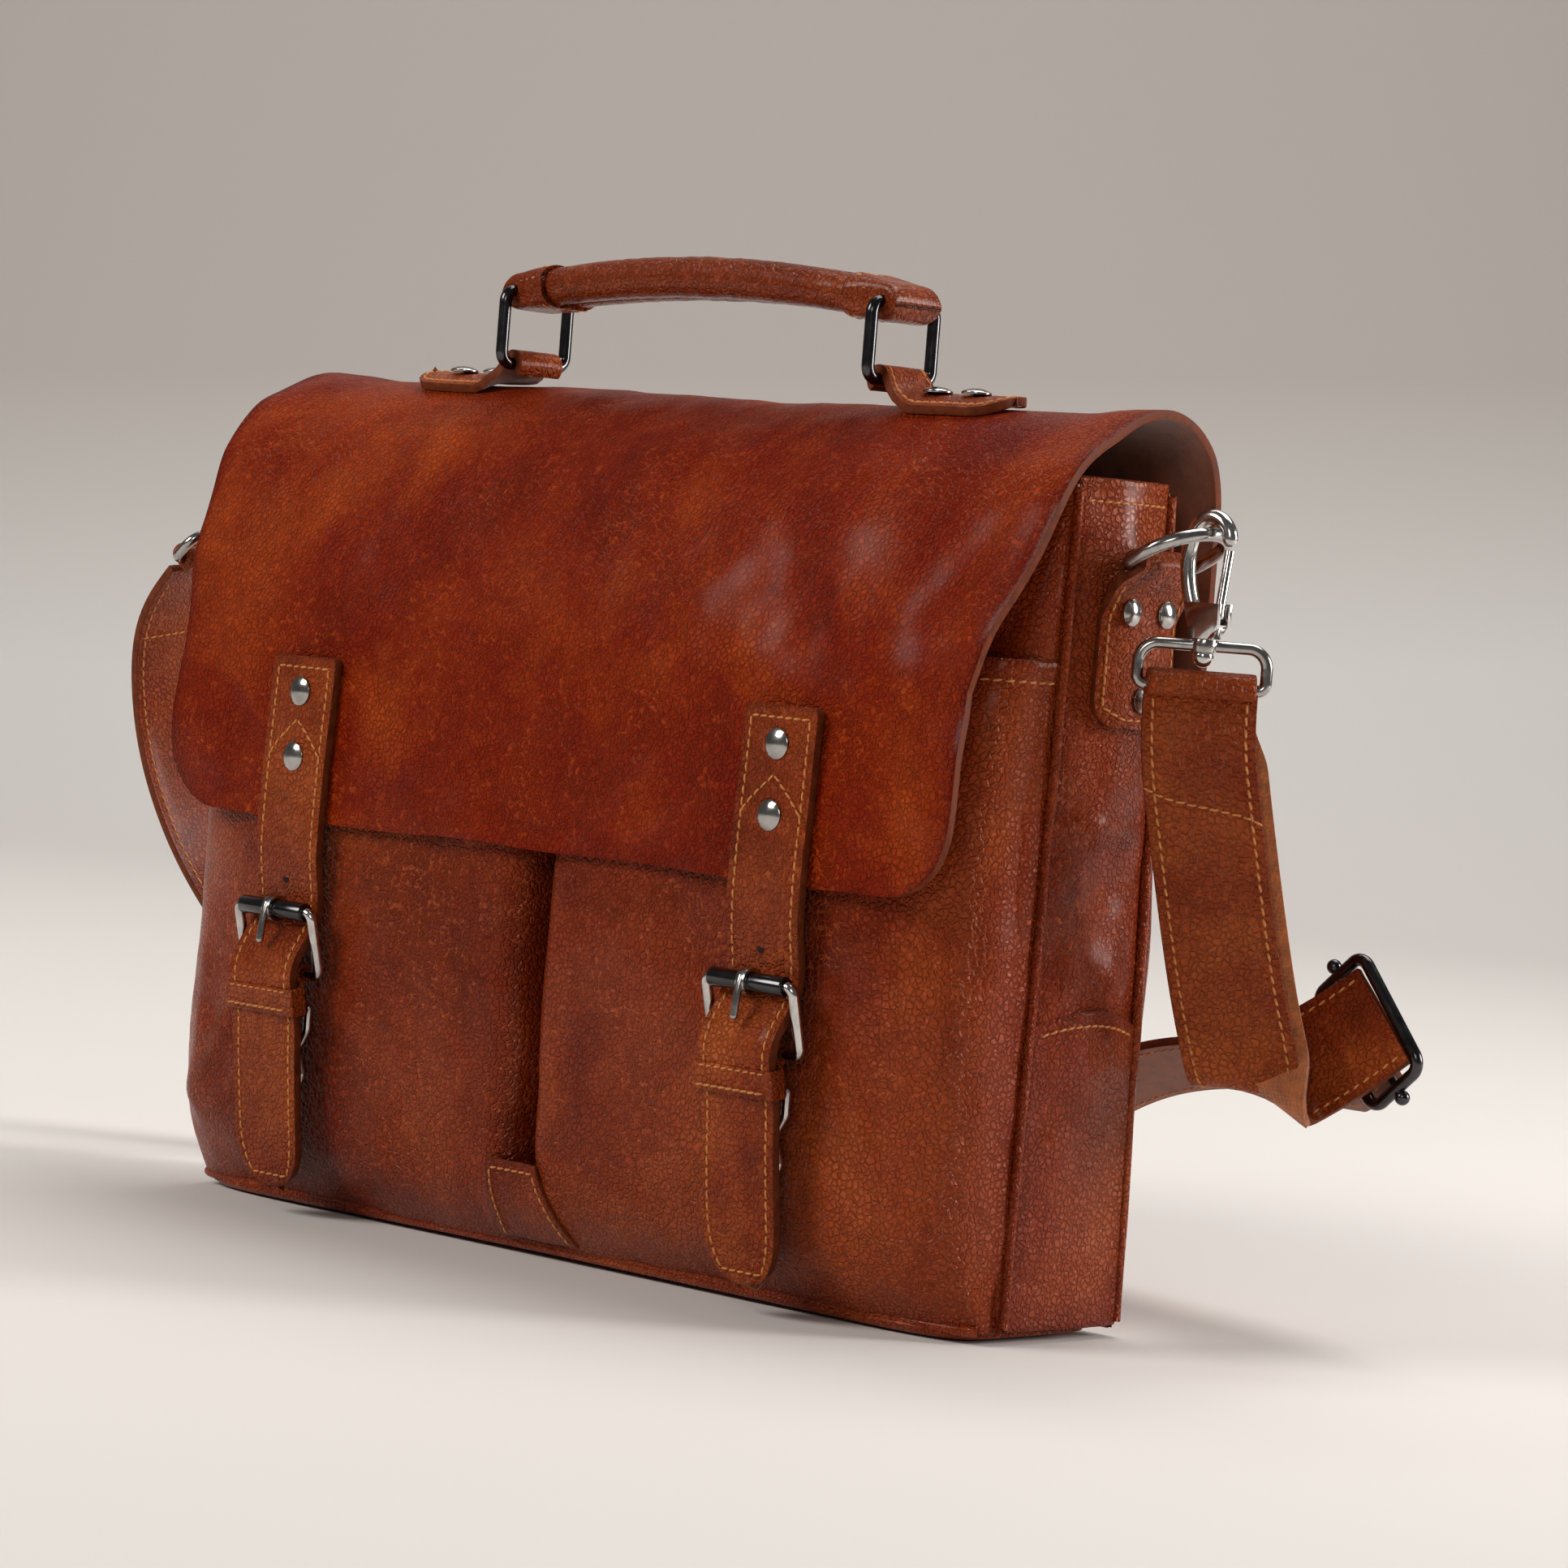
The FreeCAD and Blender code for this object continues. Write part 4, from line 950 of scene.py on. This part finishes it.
def make_handle(skin, thread):
    """Two padded rolls sewn side by side, with a stitched cap folded round each ring."""
    x_end = RING_X - 11.0
    apart, lobe = 6.6, 8.0
    centres, sections = [], []
    turn = np.linspace(0, 2 * math.pi, 49)[:-1]
    for x in np.linspace(-x_end, x_end, 96):
        share = abs(x) / x_end
        fill = 1 - 0.35 * smooth((share - 0.9) / 0.1)
        wide = (13.6 - 1.2 * share ** 3) * (0.9 + 0.1 * fill)
        tall = (7.4 - 0.5 * share ** 2) * (0.75 + 0.25 * fill)
        creases = 0.25 * noise.noise(Vector((x / 9.0, 1.1, 0))) + 0.2 * noise.noise(Vector((x / 4.0, 5.1, 0)))
        reach = apart * np.abs(np.cos(turn)) + np.sqrt(lobe ** 2 - (apart * np.sin(turn)) ** 2)
        y = reach * np.cos(turn) * (wide + creases) / (apart + lobe)
        z = -reach * np.sin(turn) * (tall + creases) / lobe
        centres.append(np.array([x, 0.0, RING_HIGH + handle_rise(x)]))
        sections.append(np.column_stack([np.zeros_like(y), y, z]))
    grip = sweep_piece("handle_rolls", centres, sections, "handle", [skin])
    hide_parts("handle")
    runs = Thread()
    x = np.linspace(-x_end + 3, x_end - 3, 120)
    valley = math.sqrt(lobe ** 2 - apart ** 2) / lobe
    for face in (-1, 1):
        z = RING_HIGH + handle_rise(x) + face * (7.15 * valley)
        line = np.column_stack([x, np.zeros_like(x), z])
        runs.run(line, np.tile([0.0, 0.0, float(face)], (len(x), 1)), lift=0.1, pitch=4.4)
    for side in (-1, 1):
        make_handle_cap(side, skin, runs)
    runs.made("handle_stitches", "handle", thread)


def make_handle_cap(side, skin, runs):
    """Cap on one end of the grip: full where it leaves the rolls, flatter and round-ended at the ring."""
    length, end = 17.0, 6.8
    lean = 16.0
    fall = math.atan2(handle_rise(RING_X - lean), lean)
    ring = np.array([side * RING_X, 0.0, RING_HIGH])
    down = np.array([side * math.cos(fall), 0.0, -math.sin(fall)])
    upward = np.array([side * math.sin(fall), 0.0, math.cos(fall)])
    stations = list(np.linspace(-length, 0.0, 18)) + [end * math.sin(a) for a in np.linspace(0.15, 1.52, 11)]
    turn = np.linspace(0, 2 * math.pi, 41)[:-1] * side
    centres, sections = [], []
    for s in stations:
        past = max(s, 0) / end
        share = smooth((s + length) / length)
        tall = (8.4 - 1.4 * share) * math.sqrt(max(1 - past * past, 0.0004))
        wide = 14.7 - 2.5 * share - 0.3 * past
        power = 2 / (2.8 + 3.4 * share)
        y = np.sign(np.cos(turn)) * np.abs(np.cos(turn)) ** power * wide
        z = -np.sign(np.sin(turn)) * np.abs(np.sin(turn)) ** power * tall
        z = z * (1 - 0.10 * np.exp(-(y / 4.0) ** 2) * (1 - share))
        centres.append(ring + down * s)
        sections.append(np.outer(y, (0, 1, 0)) + np.outer(z, upward))
    sweep_piece("handle_cap_" + hand(side), centres, sections, "handle", [skin])
    y = np.linspace(-11.5, 11.5, 15)
    high = 8.2 * (1 - (np.abs(y) / 15.5) ** 2.8) ** (1 / 2.8) - 0.75 * np.exp(-(y / 4.0) ** 2)
    along_side = np.linspace(-14.5, 1, 12)
    out = 14.2 - 2.5 * smooth((along_side + length) / length)
    for face in (-1, 1):
        line = ring - down * 14.5 + np.outer(y, (0, 1, 0)) + np.outer(face * high, upward)
        runs.run(line, np.tile(upward * face, (len(y), 1)), lift=0.0, pitch=3.4)
        line = ring + np.outer(along_side, down) + np.outer(face * out, (0, 1, 0)) + upward * 3.2
        runs.run(line, np.tile([0.0, float(face), 0.35], (12, 1)), lift=0.0, pitch=3.4)


def tongue(name, node, path, widths, thick, to_world, body, finish):
    """A tongue folded round a bar: path is its outer face as (along, height), widths its half width there."""
    across = np.sin(np.linspace(-1, 1, 25) * math.pi / 2)
    surface = np.array([[to_world(s, share * half, h) for share in across]
                        for (s, h), half in zip(path, widths)])
    surface = rumple(surface, 0.25, 15, len(name))
    shade = 0.9 * edge_shade(surface, (0, 0.8, 0.8, 0.8), 0.035)
    worn_and_shaded_sheet(name, node, surface, thick, body, finish, shade, 0.6)
    return surface


def rounded_widths(path, half, narrow, neck, radius):
    """Half widths of a tongue: narrow at the roll, then full, then a round end."""
    run = run_of(np.array(path))
    left = run[-1] - run
    widths = narrow + (half - narrow) * smooth((run - neck) / 9.0)
    corner = radius - np.sqrt(np.maximum(radius ** 2 - (radius - left) ** 2, 0))
    return np.maximum(widths - np.where(left < radius, corner, 0), 0.3)


def make_handle_tab(side, finish, thread):
    name = hand(side)
    end_x, flat, round_end = 56.0, 316.2, 13.0
    arc = [(5.3 * math.cos(a), RING_LOW + 5.3 * math.sin(a)) for a in np.radians(np.arange(230, 34, -12))]
    plate = [(7.6, 317.8), (11, 316.6), (15, 316.3)]
    plate += [(x, flat) for x in np.arange(18, end_x - round_end, 1.6)]
    tip = [(end_x - round_end * (1 - math.sin(a)), flat) for a in np.linspace(0, 1.38, 12)]
    path = arc + plate + tip

    def to_world(s, t, h):
        y = t * side
        slope = np.interp(y, (-13, -8, -3, 3, 8, 13), (5.2, 2.9, 1.0, 0.0, -0.2, 0.3))
        return side * (RING_X + s), y, h - smooth((s - 6) / 12) * slope

    widths = rounded_widths(path, 13.0, 10.4, 20.0, round_end)
    surface = tongue("handle_tongue_" + name, "handle_tab_" + name, path, widths, 3.2, to_world, "flap",
                     finish)
    runs = Thread()
    border(surface, 15.0, 10.6, 13.0, runs)
    runs.made("handle_tongue_stitches_" + name, "flap", thread)


def border(surface, start, stitch_out, half, runs):
    """Stitches down both long edges of a tongue, from a length down it, and round its end."""
    run = run_of(surface[:, 12])
    right = column_share(stitch_out, half)
    left = 1 - right
    end = run[-1] - (half - stitch_out)
    first, turn, last = (row_share(s, run) for s in (start, end - 4, end))
    for u in (right, left):
        runs.sew(surface, [(first, u), (turn, u)], 3.4)
    runs.sew(surface, [(turn, left), (last, 0.35), (last, 0.65), (turn, right)], 3.4)


def make_side_tab(side, finish, thread):
    name = hand(side)
    bar_x, bar_z, centre_y, face_x = 214.0, 262.0, 4.0, 211.4
    arc = [(bar_x + 5.1 * math.cos(a), bar_z + 5.1 * math.sin(a))
           for a in np.radians(np.arange(205, -28, -13))]
    plate = [(215.6, 256.0), (213.0, 253.2), (211.8, 250.5)]
    plate += [(face_x, z) for z in np.arange(248.5, 216, -1.7)]
    tip = [(face_x, 207 + 9 * (1 - math.sin(a))) for a in np.linspace(0, 1.38, 11)]
    path = arc + plate + tip

    def to_world(s, t, h):
        bend = 0.011 * t * t * smooth((252 - h) / 10)
        return side * (s - bend), centre_y + t * side, h

    widths = rounded_widths(path, 19.5, 12.6, 18.0, 9.0)
    surface = tongue("side_tongue_" + name, "side_tab_" + name, path, widths, 3.0, to_world, "bag", finish)
    runs = Thread()
    border(surface, 27.0, 16.6, 19.5, runs)
    runs.made("side_tongue_stitches_" + name, "bag", thread)


# Shoulder strap


def ribbon_surface(centres, across, half, offset, flip):
    """Face of a strap through centres; flip turns its outer face to the other side."""
    line = cubic(centres, 3.0)
    marks = run_of(np.array(centres, float))
    marks = marks / marks[-1] * run_of(line)[-1]
    wanted = along_values(np.column_stack([marks]), np.array(across, float), run_of(line))
    _, side, normal = frames_along(line, wanted)
    if flip:
        side, normal = -side, -normal
    steps = np.sin(np.linspace(-1, 1, 17) * math.pi / 2)
    lift = offset + strap_crown(steps, half, half - SHOULDER_INSET, 0.3, 0.2)
    surface = (line[:, None, :] + side[:, None, :] * (steps * half)[None, :, None]
               + normal[:, None, :] * lift[None, :, None])
    for _ in range(8):
        surface[1:-1] = 0.5 * surface[1:-1] + 0.25 * (surface[:-2] + surface[2:])
    return surface


def long_stitches(surface, runs, start=0.01, end=0.99):
    """Stitches down both edges of a shoulder strap's face, between two row shares."""
    right = column_share(SHOULDER_HALF - SHOULDER_INSET, SHOULDER_HALF)
    for u in (right, 1 - right):
        runs.sew(surface, [(start, u), (end, u)], 4.0, len(surface))


def make_shoulder(finish, webbing, thread, frame):
    """The drop with its webbing layer, the long strap, their stitches and the folds round the strap loops."""
    skin, _, edge = finish
    half, proud = SHOULDER_HALF, SHOULDER_THICK / 2
    shifts, across = zip(*DROP)
    path = [tuple(FOLD_BAR + np.array(shift)) for shift in shifts]
    face = rumple(ribbon_surface(path, across, half, proud, False), 0.3, 40, 4.9)
    worn_and_shaded_sheet("drop_leather", "shoulder_drop", face, SHOULDER_THICK, "bag", (skin, skin, edge),
               0.5 * edge_shade(face, (0, 0, 1, 1), 0.05), 0.6)
    back = ribbon_surface(path, across, half - 1.0, proud + WEBBING_THICK, True)
    run = run_of(back[:, 8])
    shift = (5.0 * smooth((run - 8) / 25))[:, None] * frames_along(back[:, 8], back[:, 0] - back[:, -1])[1]
    start, end = WEBBING_SPAN
    back = (back + shift[:, None, :])[(run > start) & (run < end)]
    layer = sheet_piece("drop_webbing", back, WEBBING_THICK, "bag", [webbing] * 3, 0.9)
    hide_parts("shoulder_webbing")
    runs = Thread()
    long_stitches(face, runs)
    long_stitches(ribbon_surface(path, across, half, proud, True), runs, 0.72)
    runs.sew(face, [(0.16, 0.06), (0.25, 0.94)], 3.6)
    path, across = zip(*RETURN)
    outer = ribbon_surface(path, across, half, proud, True)
    worn_and_shaded_sheet("strap_leather", "shoulder_strap", outer, SHOULDER_THICK, "bag", finish,
               0.5 * edge_shade(outer, (0, 0, 1, 1), 0.05), 0.6)
    long_stitches(outer, runs)
    long_stitches(ribbon_surface(path, across, half, proud, False), runs)
    runs.sew(outer, [(0.955, 0.12), (0.955, 0.88)], 3.6)
    runs.made("shoulder_stitches", "bag", thread)
    for name in ("left", "right"):
        softened("strap_end_" + name, frame, "strap_fold_" + name, 0.9, 4, "bag", skin)


# Metal


def finish_metal(frame, bright, dark, mid):
    """Gives the frame's metal parts their plating and eases their sharp corners."""
    kinds = ((("rivets", "d_ring", "strap_loop", "prong"), mid),
             (("buckle_", "clip_", "snap_hook", "hook_gate"), bright),
             (("handle_ring", "roller", "slide_adjuster"), dark))
    for node, piece in frame["nodes"].items():
        found = [plating for words, plating in kinds if any(word in node for word in words)]
        if not found or piece.hide_render:
            continue
        give_finish(piece.data, found[:1])
        weld = piece.modifiers.new("weld", "WELD")
        weld.merge_threshold = 0.01 * MM
        add_bevel(piece, 0.25, 38).harden_normals = True


# Stage


def camera_axes():
    """Directions forward, right and up in the picture."""
    turn_cos, turn_sin = math.cos(CAMERA_TURN), math.sin(CAMERA_TURN)
    down_cos, down_sin = math.cos(CAMERA_DOWN), math.sin(CAMERA_DOWN)
    forward = Vector((-turn_sin * down_cos, turn_cos * down_cos, -down_sin))
    right = Vector((turn_cos, turn_sin, 0))
    up = right.cross(forward)
    c, s = math.cos(CAMERA_ROLL), math.sin(CAMERA_ROLL)
    return forward, right * c + up * s, up * c - right * s


def make_camera():
    forward, right, up = camera_axes()
    data = bpy.data.cameras.new("camera")
    data.lens = CAMERA_LENS
    data.sensor_width = 36
    camera = bpy.data.objects.new("camera", data)
    place = CAMERA_AIM - forward * CAMERA_FAR
    turn = Matrix((right, up, -forward)).transposed().to_4x4()
    camera.matrix_world = Matrix.Translation(place) @ turn
    bpy.context.scene.collection.objects.link(camera)
    bpy.context.scene.camera = camera


def area_light(name, place, aim, size, power, colour, size_y=None):
    data = bpy.data.lights.new(name, "AREA")
    data.energy = power
    data.color = colour
    data.shape = "RECTANGLE" if size_y else "SQUARE"
    data.size = size
    if size_y:
        data.size_y = size_y
    lamp = bpy.data.objects.new(name, data)
    lamp.location = place
    lamp.rotation_euler = (Vector(aim) - Vector(place)).to_track_quat("-Z", "Y").to_euler()
    bpy.context.scene.collection.objects.link(lamp)


def make_stage():
    """Floor that curves up into a backdrop, and soft studio lights."""
    forward, right, up = camera_axes()
    level = Vector((forward.x, forward.y, 0)).normalized()
    side = Vector((right.x, right.y, 0)).normalized()
    line = [(FLOOR_START, 0.0), (-1.5, 0.0), (0.0, 0.0), (FLOOR_END, 0.0)]
    line += [(FLOOR_END + SWEEP * math.sin(a), SWEEP * (1 - math.cos(a)))
             for a in np.linspace(0.08, math.pi / 2, 24)]
    line += [(FLOOR_END + SWEEP, WALL_TOP)]
    places = []
    for away, height in line:
        for across in (-STAGE_HALF, STAGE_HALF):
            p = level * away + side * across
            places.append((p.x / MM, p.y / MM, height / MM))
    floor = mesh_piece("floor", places, grid_faces(len(line), 2), None, [backdrop_material(up)])
    warm = (1.0, 0.98, 0.96)
    area_light("key", (-1.0, -2.1, 1.7), (0, 0, 0.15), 1.1, 46, (1.0, 0.97, 0.94))
    area_light("side", (1.45, 1.25, 0.7), (0.2, 0, 0.17), 0.5, 28, (1.0, 0.96, 0.95), 0.8)
    area_light("top", (0.2, 0.9, 2.4), (0, 0.4, 0), 1.6, 36, warm)
    area_light("front", (1.6, -2.3, 1.3), (0, 0, 0.2), 0.8, 11, (1.0, 0.96, 0.92))
    wall = level * 1.5
    area_light("wall", (wall.x, wall.y, 2.7), (level.x * 3.4, level.y * 3.4, 0.5), 1.8, 30, warm)
    world = bpy.data.worlds.new("studio")
    world.use_nodes = True
    background = world.node_tree.nodes["Background"]
    background.inputs["Color"].default_value = (0.95, 0.93, 0.91, 1)
    background.inputs["Strength"].default_value = 0.12
    bpy.context.scene.world = world
    bpy.context.scene.view_settings.view_transform = "Standard"


# Everything together


def build(frame):
    skin = leather("leather_body", (0.105, 0.0070, 0.0016), (0.225, 0.025, 0.0045), (0.36, 0.066, 0.014),
                   gloss=(0.24, 0.42), coat=0.14)
    flap_skin = leather("leather_flap", (0.105, 0.0030, 0.0004), (0.205, 0.0110, 0.0009),
                        (0.37, 0.050, 0.005), gloss=(0.34, 0.52), coat=0.09, specular=0.14)
    strap_skin = leather("leather_strap", (0.115, 0.010, 0.0020), (0.235, 0.030, 0.0045),
                         (0.38, 0.078, 0.015), gloss=(0.32, 0.46), size=1.5, coat=0.1)
    handle_skin = leather("leather_handle", (0.09, 0.009, 0.002), (0.20, 0.027, 0.0055), (0.34, 0.066, 0.016),
                          gloss=(0.28, 0.40), size=1.5, coat=0.2)
    lining = suede("flesh_side", (0.30, 0.075, 0.018))
    webbing = suede("webbing", (0.55, 0.15, 0.03), True)
    edge = cut_edge("cut_edge", (0.17, 0.034, 0.008))
    thread = thread_material()
    # Near-black material for the strap hole disc: painted shade, not a cut edge.
    hole_shade = cut_edge("hole", (0.02, 0.006, 0.003))
    bright = metal("nickel_bright", (0.62, 0.60, 0.58), 0.1)
    mid_metal = metal("nickel_smoked", (0.44, 0.42, 0.40), 0.12)
    dark_metal = metal("gunmetal", (0.075, 0.072, 0.075), 0.12)
    body_finish = (skin, lining, edge)
    flap_finish = (flap_skin, lining, edge)
    strap_finish = (strap_skin, lining, edge)

    make_walls(body_finish)
    make_base(skin)
    make_piping(skin)
    make_bottom_patch(body_finish, thread)
    make_flap(flap_finish, thread)
    make_handle(handle_skin, thread)
    for side in (-1, 1):
        make_pocket(side, body_finish, thread)
        make_gusset(side, body_finish, thread)
        make_front_strap(side, strap_finish, thread, hole_shade)
        make_keeper(side, frame, strap_skin, thread)
        make_handle_tab(side, strap_finish, thread)
        make_side_tab(side, strap_finish, thread)
    make_shoulder(strap_finish, webbing, thread, frame)
    finish_metal(frame, bright, dark_metal, mid_metal)


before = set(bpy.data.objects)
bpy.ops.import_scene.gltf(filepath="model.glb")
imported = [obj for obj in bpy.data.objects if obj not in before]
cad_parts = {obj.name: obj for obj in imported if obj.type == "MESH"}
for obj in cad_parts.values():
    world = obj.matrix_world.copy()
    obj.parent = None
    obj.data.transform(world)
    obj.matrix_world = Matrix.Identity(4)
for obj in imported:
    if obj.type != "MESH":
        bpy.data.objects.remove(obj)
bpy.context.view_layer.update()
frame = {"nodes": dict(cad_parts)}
build(frame)
make_camera()
make_stage()
